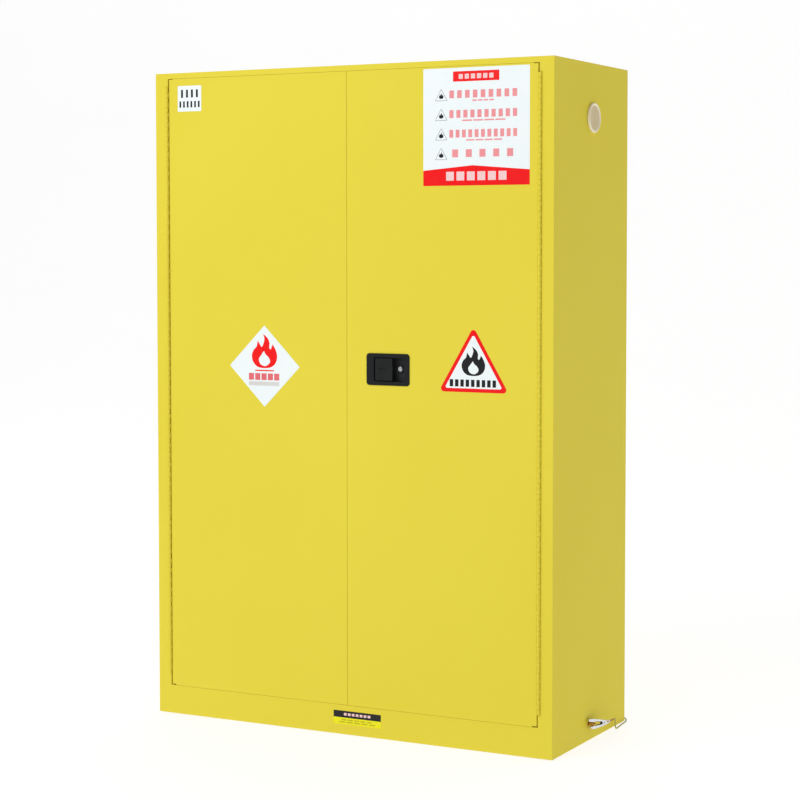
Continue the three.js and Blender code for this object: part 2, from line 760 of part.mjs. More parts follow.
function lowerJaw() {
  const strip = [
    [-12, -5.4],
    [-12, -8.5],
    [-4, -12],
    [10, -12.8],
    [38, -11],
    [52, -8],
    [62, -5.6],
    [62, -3.5],
    [46, -4.6],
    [43, -1.2],
    [37, -1.2],
    [30, -6.4],
    [10, -6.2],
  ];
  const sleeve = new THREE.CylinderGeometry(3, 3, 8, 12);
  sleeve.rotateZ(-Math.PI / 2).translate(CLIP.wireU - 4, -3.4, 0);
  return join(clipPlate(strip, [-3, 3]), clipDisc(1.8, [-5.4, 5.4]), sleeve);
}

function earthStud() {
  const place = [STUD.y, STUD.z];
  const nut = bar('x', 5 / Math.cos(Math.PI / 6), [SIDE_X + 1.5, SIDE_X + 14], [0, 0], 6);
  return join(
    bar('x', 8, [SIDE_X + GAP, SIDE_X + 1.8], place, 16),
    nut.rotateX(Math.PI / 6).translate(0, ...place),
    bar('x', 3, [SIDE_X + GAP, SIDE_X + 20], place, 12),
  );
}

// The lead's free length, from the clip's sleeve down to the floor and round the back corner.
const WIRE_ROUTE = [
  [585.5, 56.7, 41.6],
  [587, 61.6, 41.9],
  [588.2, 69, 42.4],
  [588, 77, 42.3],
  [586, 86, 40.8],
  [583, 95, 37],
  [580, 103, 31],
  [577.5, 110, 23.5],
  [575, 118, 15],
  [572, 128, 7.6],
  [569, 140, 3.2],
  [566.5, 155, 1.9],
  [564.5, 172, 1.9],
  [562.5, 190, 1.9],
  [561, 208, 1.9],
  [559.5, 224, 1.9],
  [556.5, 238, 1.9],
  [551, 250, 1.9],
  [543, 261, 1.9],
  [534, 270.5, 1.9],
  [523.7, 279.6, 1.9],
];

function wireTube() {
  const path = new THREE.CatmullRomCurve3(WIRE_ROUTE.map((point) => new THREE.Vector3(...point)));
  const section = new THREE.Shape().absarc(0, 0, WIRE_RADIUS, 0, 2 * Math.PI);
  const options = { steps: 34, curveSegments: 8, bevelEnabled: false, extrudePath: path };
  return new THREE.ExtrudeGeometry(section, options);
}

function wireCoil() {
  const half = COIL.columns * WIRE_RADIUS;
  const top = COIL.layers * 2 * WIRE_RADIUS;
  const ring = turned([
    [COIL.radius - half, 0],
    [COIL.radius + half, 0],
    [COIL.radius + half, top],
    [COIL.radius - half, top],
    [COIL.radius - half, 0],
  ], 24);
  return ring.translate(COIL.x, COIL.y, 0);
}

// A crimped ring terminal, lying beside the coil.
function ringTerminal() {
  const y = COIL.y + COIL.radius + 7.2;
  const eye = [COIL.x - 34.5, y];
  const tongue = box([eye[0], COIL.x - 25], span(y, 2.4), [0.2, 1.5]);
  const barrel = bar('x', 2.9, [COIL.x - 27.5, COIL.x - 17.5], [y, 3.1], 12);
  const blank = join(bar('z', 6, [0.2, 1.5], eye, 16), tongue, barrel);
  return cut(blank, bar('z', 2.7, [-1, 3], eye, 12));
}

function addEarthing() {
  add('earth_stud', earthStud(), brass);
  add('earth_clip_jaw_upper', upperJaw().applyMatrix4(clipFrame()), chrome);
  add('earth_clip_jaw_lower', lowerJaw().applyMatrix4(clipFrame()), chrome);
  add('earth_wire', wireTube(), earthSheath);
  add('earth_wire_coil', wireCoil(), earthSheath);
  add('earth_ring_terminal', ringTerminal(), zincSteel);
}

addCarcass();
addFeet();
addShelving();
addVents();
addHinges();
addDoors();
addLatch();
addLabels();
addEarthing();

export default cabinet;
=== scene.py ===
"""The looks of a two-door flammable storage cabinet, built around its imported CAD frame.

Metres, +Z up, doors facing -Y. Places and sizes come from the frame's own pieces.
"""

import json
import math

import bmesh
import bpy
from mathutils import Matrix, Vector


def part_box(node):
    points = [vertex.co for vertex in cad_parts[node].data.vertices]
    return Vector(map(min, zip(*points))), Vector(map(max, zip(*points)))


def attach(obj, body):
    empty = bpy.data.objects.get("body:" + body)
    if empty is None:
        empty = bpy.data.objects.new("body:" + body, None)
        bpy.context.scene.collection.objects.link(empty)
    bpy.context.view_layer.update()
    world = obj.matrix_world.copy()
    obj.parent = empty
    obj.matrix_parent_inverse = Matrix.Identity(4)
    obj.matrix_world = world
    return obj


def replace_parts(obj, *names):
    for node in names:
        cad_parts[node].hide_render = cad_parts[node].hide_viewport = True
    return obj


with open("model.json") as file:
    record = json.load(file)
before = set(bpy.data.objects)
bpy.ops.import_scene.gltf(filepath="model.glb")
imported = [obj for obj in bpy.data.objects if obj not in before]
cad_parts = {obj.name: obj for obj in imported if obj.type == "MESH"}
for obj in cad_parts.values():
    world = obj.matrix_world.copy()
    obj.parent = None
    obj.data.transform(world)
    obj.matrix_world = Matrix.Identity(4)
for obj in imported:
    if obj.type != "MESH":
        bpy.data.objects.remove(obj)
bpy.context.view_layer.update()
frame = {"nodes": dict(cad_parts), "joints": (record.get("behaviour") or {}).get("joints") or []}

MM = 0.001
SHEET = 1.2 * MM  # steel gauge of every panel
GAP = 0.3 * MM  # that the CAD keeps between pieces that touch
SIDES = {"right": 1, "left": -1}


def low(node):
    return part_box(node)[0]


def high(node):
    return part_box(node)[1]


def middle(node):
    return (low(node) + high(node)) / 2


def span(node):
    """The piece's two values on X, on Y and on Z."""
    return list(zip(low(node), high(node)))


def joint(name):
    return next(j for j in frame["joints"] if j["name"] == name)


def in_scene(name, data):
    made = bpy.data.objects.new(name, data)
    bpy.context.scene.collection.objects.link(made)
    return made


SIDE_X = high("outer_side_right").x
FRONT_Y = low("outer_top").y
BACK_Y = high("outer_back").y
TOP_Z = high("outer_top").z
SKIRT_Z = low("outer_side_right").z
STOP_X = low("outer_side_right").x
STOP_Y = high("base_rail").y - SHEET
STOP_Z = (high("base_rail").z, low("head_rail").z)
DOOR_Z = (low("door_skin_right").z, high("door_skin_right").z)
DOOR_BACK_Y = high("door_skin_right").y
OPENING_Z = (DOOR_Z[0] - 2.5 * MM, DOOR_Z[1] + 1.5 * MM)
HINGE_X, HINGE_Y = joint("door_right_swing")["pos_m"][:2]
HINGE_Z = (low("hinge_leaf_frame_right").z, high("hinge_leaf_frame_right").z)
NOTCH_X = high("hinge_leaf_frame_right").x + GAP
LIP_X = HINGE_X - 2 * MM
HINGE_LIP = 1.1 * MM  # how far the shell's edge reaches past its notch, to the hinge barrels


# ---------------- camera

CAMERA_PLACE = (2.4675, -4.6233, 1.2110)
CAMERA_TURN = (87.044, 0.03, 27.794)
CAMERA_LENS = 92.57
CAMERA_SHIFT_Y = -0.06


def add_camera():
    data = bpy.data.cameras.new("camera")
    data.lens = CAMERA_LENS
    data.sensor_width = 36
    data.shift_y = CAMERA_SHIFT_Y
    data.clip_end = 60
    camera = in_scene("camera", data)
    camera.location = CAMERA_PLACE
    camera.rotation_euler = [math.radians(angle) for angle in CAMERA_TURN]
    bpy.context.scene.camera = camera


add_camera()


# ---------------- materials


def linear(color):
    """A display colour, 0 to 255 in each channel, as the shader's linear one."""
    return (*((channel / 255) ** 2.2 for channel in color), 1)


class Finish:
    """One procedural material, with noise laid in each piece's own coordinates."""

    def __init__(self, name, color, roughness, metallic=0.0, coat=0.0):
        self.material = bpy.data.materials.new(name)
        self.material.use_nodes = True
        self.tree = self.material.node_tree
        self.shader = self.tree.nodes["Principled BSDF"]
        settings = {
            "Base Color": linear(color), "Roughness": roughness, "Metallic": metallic,
            "Coat Weight": coat, "Coat Roughness": 0.15,
            "Specular IOR Level": 0.5 if metallic else 0.18,
        }
        for socket, value in settings.items():
            self.shader.inputs[socket].default_value = value
        self.place = self.node("ShaderNodeTexCoord").outputs["Object"]

    def node(self, kind, **inputs):
        """A node with its inputs set or linked; a space in an input's name is an underscore."""
        node = self.tree.nodes.new(kind)
        for name, value in inputs.items():
            socket = node.inputs[name.replace("_", " ")]
            if isinstance(value, bpy.types.NodeSocket):
                self.tree.links.new(value, socket)
            else:
                socket.default_value = value
        return node

    def noise(self, scale, detail=2.0, stretch=None):
        vector = self.place
        if stretch:
            vector = self.node("ShaderNodeMapping", Vector=vector, Scale=stretch).outputs[0]
        return self.node("ShaderNodeTexNoise", Vector=vector, Scale=scale, Detail=detail).outputs[0]

    def cells(self, scale):
        """Flat grey cells, each of its own value."""
        cells = self.node("ShaderNodeTexVoronoi", Vector=self.place, Scale=scale)
        return self.node("ShaderNodeSeparateColor", Color=cells.outputs["Color"]).outputs[0]

    def ranged(self, value, start, end, dark=0.3, bright=0.7):
        """A value between dark and bright, stretched from start to end."""
        ramp = self.node("ShaderNodeMapRange", Value=value, From_Min=dark, From_Max=bright,
                         To_Min=start, To_Max=end)
        return ramp.outputs["Result"]

    def color(self, factor, first, second):
        mix = self.tree.nodes.new("ShaderNodeMix")
        mix.data_type = "RGBA"
        factor_in, first_in, second_in = (mix.inputs[i] for i in (0, 6, 7))
        self.tree.links.new(factor, factor_in)
        first_in.default_value = linear(first)
        second_in.default_value = linear(second)
        self.tree.links.new(mix.outputs[2], self.shader.inputs["Base Color"])
        return self

    def roughness(self, factor):
        self.tree.links.new(factor, self.shader.inputs["Roughness"])
        return self

    def tones(self, scale, detail, first, second):
        """Two colours that drift into each other in patches."""
        return self.color(self.ranged(self.noise(scale, detail), 0, 1), first, second)

    def gloss(self, scale, detail, smooth, rough):
        """A roughness that drifts between two values."""
        return self.roughness(self.ranged(self.noise(scale, detail), smooth, rough))

    def bump(self, height, distance, strength=1.0):
        normal = self.shader.inputs["Normal"]
        previous = normal.links[0].from_socket if normal.links else None
        bump = self.node("ShaderNodeBump", Height=height, Distance=distance, Strength=strength)
        if previous:
            self.tree.links.new(previous, bump.inputs["Normal"])
        self.tree.links.new(bump.outputs[0], normal)
        return self


def powder_coat(name, color, shade):
    """Satin powder coat: slow colour drift, fine orange peel, and the sheet's own slight waves."""
    finish = Finish(name, color, 0.42)
    finish.shader.inputs["Specular IOR Level"].default_value = 0.03
    finish.tones(1.7, 4, color, shade)
    finish.gloss(60, 3, 0.38, 0.47)
    finish.bump(finish.noise(4.5, 1), 0.6 * MM, 0.12)
    return finish.bump(finish.noise(650, 2), 0.05 * MM, 0.5).material


def zinc_plate(name, color, shade):
    """Hot-dip zinc: spangles of their own tone and gloss, over faint rolling lines."""
    finish = Finish(name, color, 0.4, metallic=0.9)
    spangle = finish.cells(95)
    finish.color(finish.ranged(spangle, 0, 1, 0, 1), color, shade)
    finish.roughness(finish.ranged(spangle, 0.3, 0.5, 0, 1))
    finish.bump(finish.noise(300, 2, (1, 1, 12)), 0.03 * MM, 0.4)
    return finish.bump(spangle, 0.02 * MM, 0.3).material


def turned_steel(name, color, shade):
    finish = Finish(name, color, 0.38, metallic=0.95)
    finish.tones(55, 5, color, shade)
    finish.gloss(90, 4, 0.28, 0.5)
    return finish.bump(finish.noise(700, 3, (1, 1, 5)), 0.02 * MM, 0.5).material


def moulded(name, color, shade, roughness, grain):
    """Moulded plastic: a fine eroded grain and a faint drift of tone."""
    finish = Finish(name, color, roughness)
    finish.tones(35, 3, color, shade)
    finish.gloss(120, 3, roughness - 0.05, roughness + 0.06)
    return finish.bump(finish.noise(1500, 2), grain, 0.6).material


def plated(name, color, shade, roughness):
    """Bright plating with hair scratches."""
    finish = Finish(name, color, roughness, metallic=1.0)
    finish.tones(120, 3, color, shade)
    scratches = finish.noise(260, 4, (1, 9, 9))
    finish.roughness(finish.ranged(scratches, roughness * 0.7, roughness * 1.6))
    return finish.bump(scratches, 0.01 * MM, 0.4).material


def film(name, color, shade, roughness=0.3):
    """Printed vinyl film, slightly uneven where it lies on the paint."""
    finish = Finish(name, color, roughness, coat=0.25)
    finish.tones(14, 3, color, shade)
    finish.gloss(45, 3, roughness - 0.05, roughness + 0.07)
    return finish.bump(finish.noise(25, 2), 0.12 * MM, 0.15).material


def sheath(name, start, color, change):
    """A lead's sheath, bare near its exit, over a range of Y."""
    finish = Finish(name, color, 0.36)
    place = finish.node("ShaderNodeSeparateXYZ", Vector=finish.place)
    finish.color(finish.ranged(place.outputs["Y"], 0, 1, *change), start, color)
    finish.gloss(120, 3, 0.3, 0.45)
    return finish.bump(finish.noise(900, 2), 0.01 * MM, 0.5).material


def backdrop(name, color, shade, glow):
    """Studio paper that glows a little of its own, so that it stays pale."""
    finish = Finish(name, color, 0.75)
    finish.shader.inputs["Emission Color"].default_value = (1, 1, 1, 1)
    finish.shader.inputs["Emission Strength"].default_value = glow
    return finish.tones(0.8, 2, color, shade).material


YELLOW = powder_coat("yellow_paint", (236, 219, 76), (233, 215, 72))
LINER_YELLOW = powder_coat("liner_paint", (232, 214, 66), (226, 207, 60))
ZINC = zinc_plate("zinc_steel", (186, 189, 192), (160, 164, 168))
DARK_STEEL = turned_steel("dark_steel", (120, 122, 124), (92, 94, 97))
BLACK = moulded("black_plastic", (31, 33, 36), (26, 28, 31), 0.46, 0.03 * MM)
# painted light: a lighter copy of the dish's black plastic for the deep pocket's faces, lifting them
# out of their shade
BLACK_POCKET_PAINTED_LIGHT = moulded("black_pocket", (56, 57, 58), (50, 51, 52), 0.46, 0.03 * MM)
BLACK_PADDLE = moulded("black_paddle", (35, 36, 36), (30, 31, 31), 0.42, 0.02 * MM)
# painted highlight: the vent cap's rim and skirt, much lighter than its taupe face, standing in for
# the rim's highlight
CAP_RIM_PAINTED_HIGHLIGHT = moulded("cream_plastic", (255, 246, 220), (253, 242, 212), 0.4, 0.01 * MM)
TAUPE = moulded("taupe_plastic", (224, 206, 164), (216, 197, 152), 0.5, 0.02 * MM)
CHROME = plated("chrome", (226, 227, 230), (208, 210, 214), 0.14)
BRASS = plated("brass", (214, 168, 92), (190, 140, 66), 0.24)
COPPER = plated("copper", (206, 128, 78), (176, 98, 56), 0.3)
SHEATH = sheath("lead_sheath", (186, 118, 42), (166, 158, 34), (0.078, 0.084))
TIE = moulded("tie_plastic", (40, 41, 43), (34, 35, 37), 0.5, 0.02 * MM)
WHITE_FILM = film("white_film", (247, 254, 255), (243, 252, 254))
RED_FILM = film("red_film", (252, 16, 20), (246, 12, 18))
PINK_FILM = film("pink_film", (246, 156, 160), (242, 148, 153))
BLACK_FILM = film("black_film", (30, 31, 33), (24, 25, 27))
ROSE_FILM = film("rose_film", (236, 116, 122), (228, 106, 114))
BLUSH_FILM = film("blush_film", (252, 214, 214), (248, 204, 204))
GREY_FILM = film("grey_film", (150, 152, 154), (140, 142, 145))
LEMON_FILM = film("lemon_film", (246, 240, 8), (240, 233, 8))
OLIVE_FILM = film("olive_film", (198, 188, 22), (190, 180, 20))
LIGHT_FILM = film("light_film", (226, 224, 222), (218, 216, 214))
FLOOR = backdrop("floor_paper", (160, 160, 160), (157, 157, 157), 0.78)


# ---------------- mesh helpers


def loop_faces(mesh, rings, material=0):
    """Walls between rings of points, ring by ring, with both ends capped."""
    made = [[mesh.verts.new(point) for point in ring] for ring in rings]
    count = len(made[0])
    faces = []
    for first, second in zip(made, made[1:]):
        for i in range(count):
            j = (i + 1) % count
            faces.append(mesh.faces.new((first[i], first[j], second[j], second[i])))
    faces.append(mesh.faces.new(list(reversed(made[0]))))
    faces.append(mesh.faces.new(made[-1]))
    for face in faces:
        face.material_index = material


def rectangle(x, z):
    return [(x[0], z[0]), (x[1], z[0]), (x[1], z[1]), (x[0], z[1])]


def add_box(mesh, x, y, z):
    """A box between two values on each axis."""
    loop_faces(mesh, [[(a, b, height) for a, b in rectangle(x, y)] for height in z])


def add_plate(mesh, outline, y, material=0):
    """A flat plate in X and Z, from the first Y to the second."""
    loop_faces(mesh, [[(x, depth, z) for x, z in outline] for depth in y], material)


def turned(place, angle, radius, height):
    return place @ Vector((radius * math.cos(angle), radius * math.sin(angle), height))


def add_turned(mesh, profile, place, sides=48):
    """A turned solid from [radius, height] points, closed on its axis; place is a matrix."""
    turns = [2 * math.pi * i / sides for i in range(sides)]
    loop_faces(mesh, [[turned(place, angle, *at) for angle in turns] for at in profile])


def in_new_mesh(add, *shape):
    """A mesh of its own with the one solid that add puts in it."""
    mesh = bmesh.new()
    add(mesh, *shape)
    return mesh


def in_metres(points):
    return [(a * MM, b * MM) for a, b in points]


def add_ring(mesh, profile, place, sides):
    """A turned solid whose profile closes on itself, off the axis."""
    turns = [2 * math.pi * i / sides for i in range(sides)]
    rings = [[mesh.verts.new(turned(place, angle, *at)) for at in profile] for angle in turns]
    count = len(profile)
    for i in range(sides):
        first, second = rings[i], rings[(i + 1) % sides]
        for j in range(count):
            k = (j + 1) % count
            mesh.faces.new((first[j], second[j], second[k], first[k]))


def along(axis, at):
    """A matrix that stands a turned solid's axis along X, Y or Z, at a point."""
    turn = {
        "x": Matrix.Rotation(math.pi / 2, 4, "Y"),
        "-x": Matrix.Rotation(-math.pi / 2, 4, "Y"),
        "y": Matrix.Rotation(-math.pi / 2, 4, "X"),
        "-y": Matrix.Rotation(math.pi / 2, 4, "X"),
        "z": Matrix.Identity(4),
    }[axis]
    return Matrix.Translation(at) @ turn


def grown(pair, by):
    return (pair[0] - by, pair[1] + by)


def rounded_polygon(corners, radius, steps=5):
    """An anticlockwise convex outline with each corner turned into an arc."""
    outline = []
    for i, corner in enumerate(corners):
        here = Vector(corner)
        before = (Vector(corners[i - 1]) - here).normalized()
        after = (Vector(corners[(i + 1) % len(corners)]) - here).normalized()
        half = before.angle(after) / 2
        centre = here + (before + after).normalized() * radius / math.sin(half)
        spoke = here + before * radius / math.tan(half) - centre
        for step in range(steps + 1):
            outline.append(centre + Matrix.Rotation((math.pi - 2 * half) * step / steps, 2) @ spoke)
    return outline


def rounded_box(x, z, radius, steps=5):
    return rounded_polygon(rectangle(x, z), radius, steps)


def smooth_outline(points, steps=6):
    """A closed curve through points; a point given twice in a row stays a sharp tip."""
    outline = []
    count = len(points)
    for i in range(count):
        p0, p1, p2, p3 = (Vector(points[(i + k) % count]) for k in (-1, 0, 1, 2))
        if (p1 - p2).length < 1e-9:
            continue
        for step in range(steps):
            t = step / steps
            outline.append(0.5 * (2 * p1 + (p2 - p0) * t + (2 * p0 - 5 * p1 + 4 * p2 - p3) * t * t
                                  + (3 * p1 - p0 - 3 * p2 + p3) * t ** 3))
    return outline


def weld(mesh):
    bmesh.ops.remove_doubles(mesh, verts=mesh.verts, dist=0.002 * MM)


def temporary(mesh):
    data = bpy.data.meshes.new("temporary")
    bmesh.ops.recalc_face_normals(mesh, faces=mesh.faces)
    mesh.to_mesh(data)
    mesh.free()
    return in_scene("temporary", data)


def evaluated(made):
    """The object's mesh with its modifiers applied; the object itself is removed."""
    graph = bpy.context.evaluated_depsgraph_get()
    data = bpy.data.meshes.new_from_object(made.evaluated_get(graph), depsgraph=graph)
    bpy.data.objects.remove(made)
    return data


def boolean(mesh, tool, operation="DIFFERENCE"):
    """mesh with tool, which may be several separate solids, cut away or joined on."""
    base = temporary(mesh)
    other = temporary(tool)
    modifier = base.modifiers.new("boolean", "BOOLEAN")
    modifier.operation = operation
    modifier.solver = "EXACT"
    modifier.object = other
    data = evaluated(base)
    bpy.data.objects.remove(other)
    result = bmesh.new()
    result.from_mesh(data)
    weld(result)
    return result


def joined(mesh, add, *shape):
    """mesh with the one solid that add makes joined on."""
    return boolean(mesh, in_new_mesh(add, *shape), "UNION")


def cut(mesh, add, *shape):
    """mesh with the one solid that add makes cut away."""
    return boolean(mesh, in_new_mesh(add, *shape))


FLAT_ANGLE = math.radians(0.4)  # faces that turn less than this become one


def finished(name, mesh, body, materials, edge=0.0, segments=2, sharp=35, merge=True):
    """Edges over sharp degrees get a small radius, then the piece rides on its body."""
    weld(mesh)
    if merge:
        bmesh.ops.dissolve_limit(
            mesh, angle_limit=FLAT_ANGLE, verts=mesh.verts, edges=mesh.edges,
            delimit={"MATERIAL"},
        )
    for face in mesh.faces:
        face.smooth = True
    made = temporary(mesh)
    for material in materials:
        made.data.materials.append(material)
    if edge:
        bevel = made.modifiers.new("edges", "BEVEL")
        bevel.width = edge
        bevel.segments = segments
        bevel.limit_method = "ANGLE"
        bevel.angle_limit = math.radians(sharp)
        bevel.use_clamp_overlap = True
    made.modifiers.new("shading", "WEIGHTED_NORMAL").weight = 100
    data = evaluated(made)
    data.name = name
    piece = in_scene(name, data)
    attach(piece, body)
    return piece


def cad_mesh(node):
    mesh = bmesh.new()
    mesh.from_mesh(frame["nodes"][node].data)
    weld(mesh)
    for face in mesh.faces:
        face.material_index = 0
    return mesh


def softened(node, body, material, edge, segments=2, sharp=35):
    """A copy of a CAD piece whose edges have a radius."""
    piece = finished(node + "_soft", cad_mesh(node), body, [material], edge, segments, sharp)
    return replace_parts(piece, node)


# ---------------- earthing lead

WIRE_RADIUS = 1.8 * MM
WIRE_ROUTE = [
    (0.5855, 0.0567, 0.0416), (0.587, 0.0616, 0.0419), (0.5881, 0.069, 0.0424),
    (0.5879, 0.077, 0.0423), (0.586, 0.086, 0.0408), (0.583, 0.095, 0.037),
    (0.580, 0.103, 0.031), (0.5775, 0.110, 0.0235), (0.575, 0.118, 0.015),
    (0.572, 0.128, 0.0076), (0.569, 0.140, 0.0032), (0.5665, 0.155, 0.0019),
    (0.5645, 0.172, 0.0019), (0.5625, 0.190, 0.0019), (0.561, 0.208, 0.0019),
    (0.5595, 0.224, 0.0019), (0.5565, 0.238, 0.0019), (0.551, 0.250, 0.0019),
    (0.543, 0.261, 0.0019), (0.534, 0.2705, 0.0019), (0.5237, 0.2796, 0.0019),
]
COIL_COLUMNS = 5
COIL_JOIN_DEGREES = 62  # where the lead meets its outermost turn
COIL_LEAVE_DEGREES = 90
COIL_SHIFT = 60 / 360  # share of a turn in which the lead moves over to the next column
COIL_CLIMB = 122 / 360  # share of a turn in which it climbs to the upper layer
TIE_THICKNESS = 0.35 * MM
TIE_DEGREES = 215  # where it stands on the coil


def eased(share):
    share = min(max(share, 0), 1)
    return share * share * (3 - 2 * share)


def coil_points(steps=24):
    """Turns inward along the floor, then outward on top of them."""
    centre = middle("earth_wire_coil")
    outer = high("earth_wire_coil").x - centre.x - WIRE_RADIUS
    pitch = 2 * WIRE_RADIUS
    bed = TIE_THICKNESS + 0.05 * MM + WIRE_RADIUS
    turns = 2 * COIL_COLUMNS + (COIL_LEAVE_DEGREES - COIL_JOIN_DEGREES) / 360
    points = []
    for i in range(round(turns * steps) + 1):
        turn = i / steps
        whole = int(turn)
        shift = eased((turn - whole - (1 - COIL_SHIFT)) / COIL_SHIFT)
        if whole < COIL_COLUMNS:
            column = min(whole + shift, COIL_COLUMNS - 1)
        else:
            column = max(2 * COIL_COLUMNS - 1 - whole - shift, 0)
        climb = eased((turn - COIL_COLUMNS + COIL_CLIMB) / COIL_CLIMB)
        radius = outer - pitch * column
        angle = math.radians(COIL_JOIN_DEGREES) + 2 * math.pi * turn
        points.append((
            centre.x + radius * math.cos(angle),
            centre.y + radius * math.sin(angle),
            bed + pitch * climb,
        ))
    return points


def wire_end_points():
    """From the top of the coil down into the terminal's barrel."""
    barrel_end = high("earth_ring_terminal").x
    y = middle("earth_ring_terminal").y
    drops = [(11.5, 5.75), (7.5, 5.45), (3.8, 4.5), (0.6, 3.45), (-3, 3.1)]
    return [(barrel_end + ahead * MM, y, height * MM) for ahead, height in drops]


def curve_length(points):
    return sum((Vector(b) - Vector(a)).length for a, b in zip(points, points[1:]))


def add_wire():
    points = WIRE_ROUTE + coil_points() + wire_end_points()
    data = bpy.data.curves.new("earth_lead", "CURVE")
    data.dimensions = "3D"
    data.bevel_depth = WIRE_RADIUS
    data.bevel_resolution = 3
    data.resolution_u = 4
    data.use_fill_caps = True
    spline = data.splines.new("BEZIER")
    spline.bezier_points.add(len(points) - 1)
    for knot, point in zip(spline.bezier_points, points):
        knot.co = point
        knot.handle_left_type = "AUTO"
        knot.handle_right_type = "AUTO"
    data.materials.append(SHEATH)
    lead = in_scene("earth_lead", data)
    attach(lead, "cabinet")
    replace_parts(lead, "earth_wire", "earth_wire_coil")
    return lead, curve_length(points)


def add_coil_tie():
    """A flat strap round all the turns, on the side away from the terminal."""
    centre = middle("earth_wire_coil")
    outer = high("earth_wire_coil").x - centre.x
    inner = outer - 2 * WIRE_RADIUS * COIL_COLUMNS
    top = high("earth_wire_coil").z + TIE_THICKNESS + 0.05 * MM
    hole_x = grown((inner, outer), 0.1 * MM)
    inside = rounded_box(hole_x, (TIE_THICKNESS, top), 1.6 * MM)
    outside_z = (0.02 * MM, top + TIE_THICKNESS)
    outside = rounded_box(grown(hole_x, TIE_THICKNESS), outside_z, 1.9 * MM)
    mesh = bmesh.new()
    turn = Matrix.Rotation(math.radians(TIE_DEGREES), 4, "Z")
    place = Matrix.Translation((centre.x, centre.y, 0)) @ turn
    edges = []
    for half in (-2.5 * MM, 2.5 * MM):
        for outline in (outside, inside):
            edges.append([mesh.verts.new(place @ Vector((x, half, z))) for x, z in outline])
    near_out, near_in, far_out, far_in = edges
    for a, b in ((near_out, near_in), (near_in, far_in), (far_in, far_out), (far_out, near_out)):
        for i in range(len(a)):
            j = (i + 1) % len(a)
            mesh.faces.new((a[i], a[j], b[j], b[i]))
    return finished("coil_tie", mesh, "cabinet", [TIE], merge=False)


def add_ring_terminal():
    """A flat eye, a neck, and a crimped barrel with the lead's end in it."""
    eye_low, eye_high = low("earth_ring_terminal"), high("earth_ring_terminal")
    y = (eye_low.y + eye_high.y) / 2
    radius = (eye_high.y - eye_low.y) / 2
    flat = (0.2 * MM, 1.5 * MM)
    eye = along("z", (eye_low.x + radius, y, 0))
    barrel_radius = 2.9
    barrel_z = eye_high.z - barrel_radius * MM
    barrel_start = eye_high.x - 10 * MM
    mesh = in_new_mesh(add_turned, [(radius, z) for z in flat], eye)
    neck_x, neck_y = (eye_low.x + radius, barrel_start + 2 * MM), grown((y, y), 2.4 * MM)
    mesh = joined(mesh, add_box, neck_x, neck_y, flat)
    crimped = [(barrel_radius, 0), (barrel_radius, 2.4), (2.55, 3.4), (2.55, 6.2),
               (barrel_radius, 7.2), (barrel_radius, 10)]
    place = along("x", (barrel_start, y, barrel_z))
    mesh = joined(mesh, add_turned, in_metres(crimped), place, 32)
    holes = in_new_mesh(add_turned, in_metres([(2.7, -1), (2.7, 3)]), eye, 32)
    add_turned(holes, in_metres([(2, 1.5), (2, 12)]), place, 24)
    mesh = boolean(mesh, holes)
    terminal = finished("ring_terminal", mesh, "cabinet", [CHROME], 0.15 * MM)
    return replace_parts(terminal, "earth_ring_terminal")


# The clip's own directions: along it to its tail, up, and off the wall.
CLIP_AXIS = Vector(joint("earth_clip_squeeze")["axis"]).normalized()
CLIP_PIVOT = Vector(joint("earth_clip_squeeze")["pos_m"])
CLIP_OFF = -CLIP_AXIS
CLIP_ALONG = Vector((0, 0, 1)).cross(CLIP_OFF)
CLIP_PLACE = Matrix.Translation(CLIP_PIVOT) @ Matrix(
    (CLIP_ALONG, Vector((0, 0, 1)), CLIP_OFF)
).transposed().to_4x4()


def add_clip_jaws():
    """Each jaw with its bent edges softened, and the rivet at their pivot."""
    for jaw, body in (("upper", "clip_jaw"), ("lower", "cabinet")):
        softened(f"earth_clip_jaw_{jaw}", body, CHROME, 0.3 * MM)
    rivet = bmesh.new()
    head = [(3.1, 0), (3.1, 0.35), (2.6, 0.9), (1.5, 1.25), (0.4, 1.35)]
    cheek = 4.55 * MM  # from the clip's middle to the jaws' outside
    for side in (1, -1):
        turn = CLIP_PLACE @ Matrix.Translation((0, 0, side * cheek))
        if side < 0:
            turn = turn @ Matrix.Rotation(math.pi, 4, "X")
        add_turned(rivet, in_metres(head), turn, 24)
    finished("clip_rivet", rivet, "cabinet", [CHROME])


def add_clip_shade_leaf():
    """A dark bent leaf between the jaws: painted shade for the hollow inside them, shaped as the
    spring that holds them shut.
    """
    pivot_u, pivot_z = 40, -4
    leaf = [
        (12, 4), (20, 2.7), (28, 0.9), (32.4, -0.8), (33.4, -2.6), (32.2, -4.4), (28, -5.5),
        (12, -5.8), (12, -5), (27.8, -4.7), (31.4, -3.8), (32.4, -2.6), (31.6, -1.4), (27.6, 0.1),
        (20, 1.9), (12, 3.2),
    ]
    rings = [
        [CLIP_PLACE @ Vector(((u - pivot_u) * MM, (z - pivot_z) * MM, off * MM)) for u, z in leaf]
        for off in (-2.2, 2.2)
    ]
    mesh = in_new_mesh(loop_faces, rings)
    finished("clip_spring", mesh, "cabinet", [DARK_STEEL], 0.15 * MM)


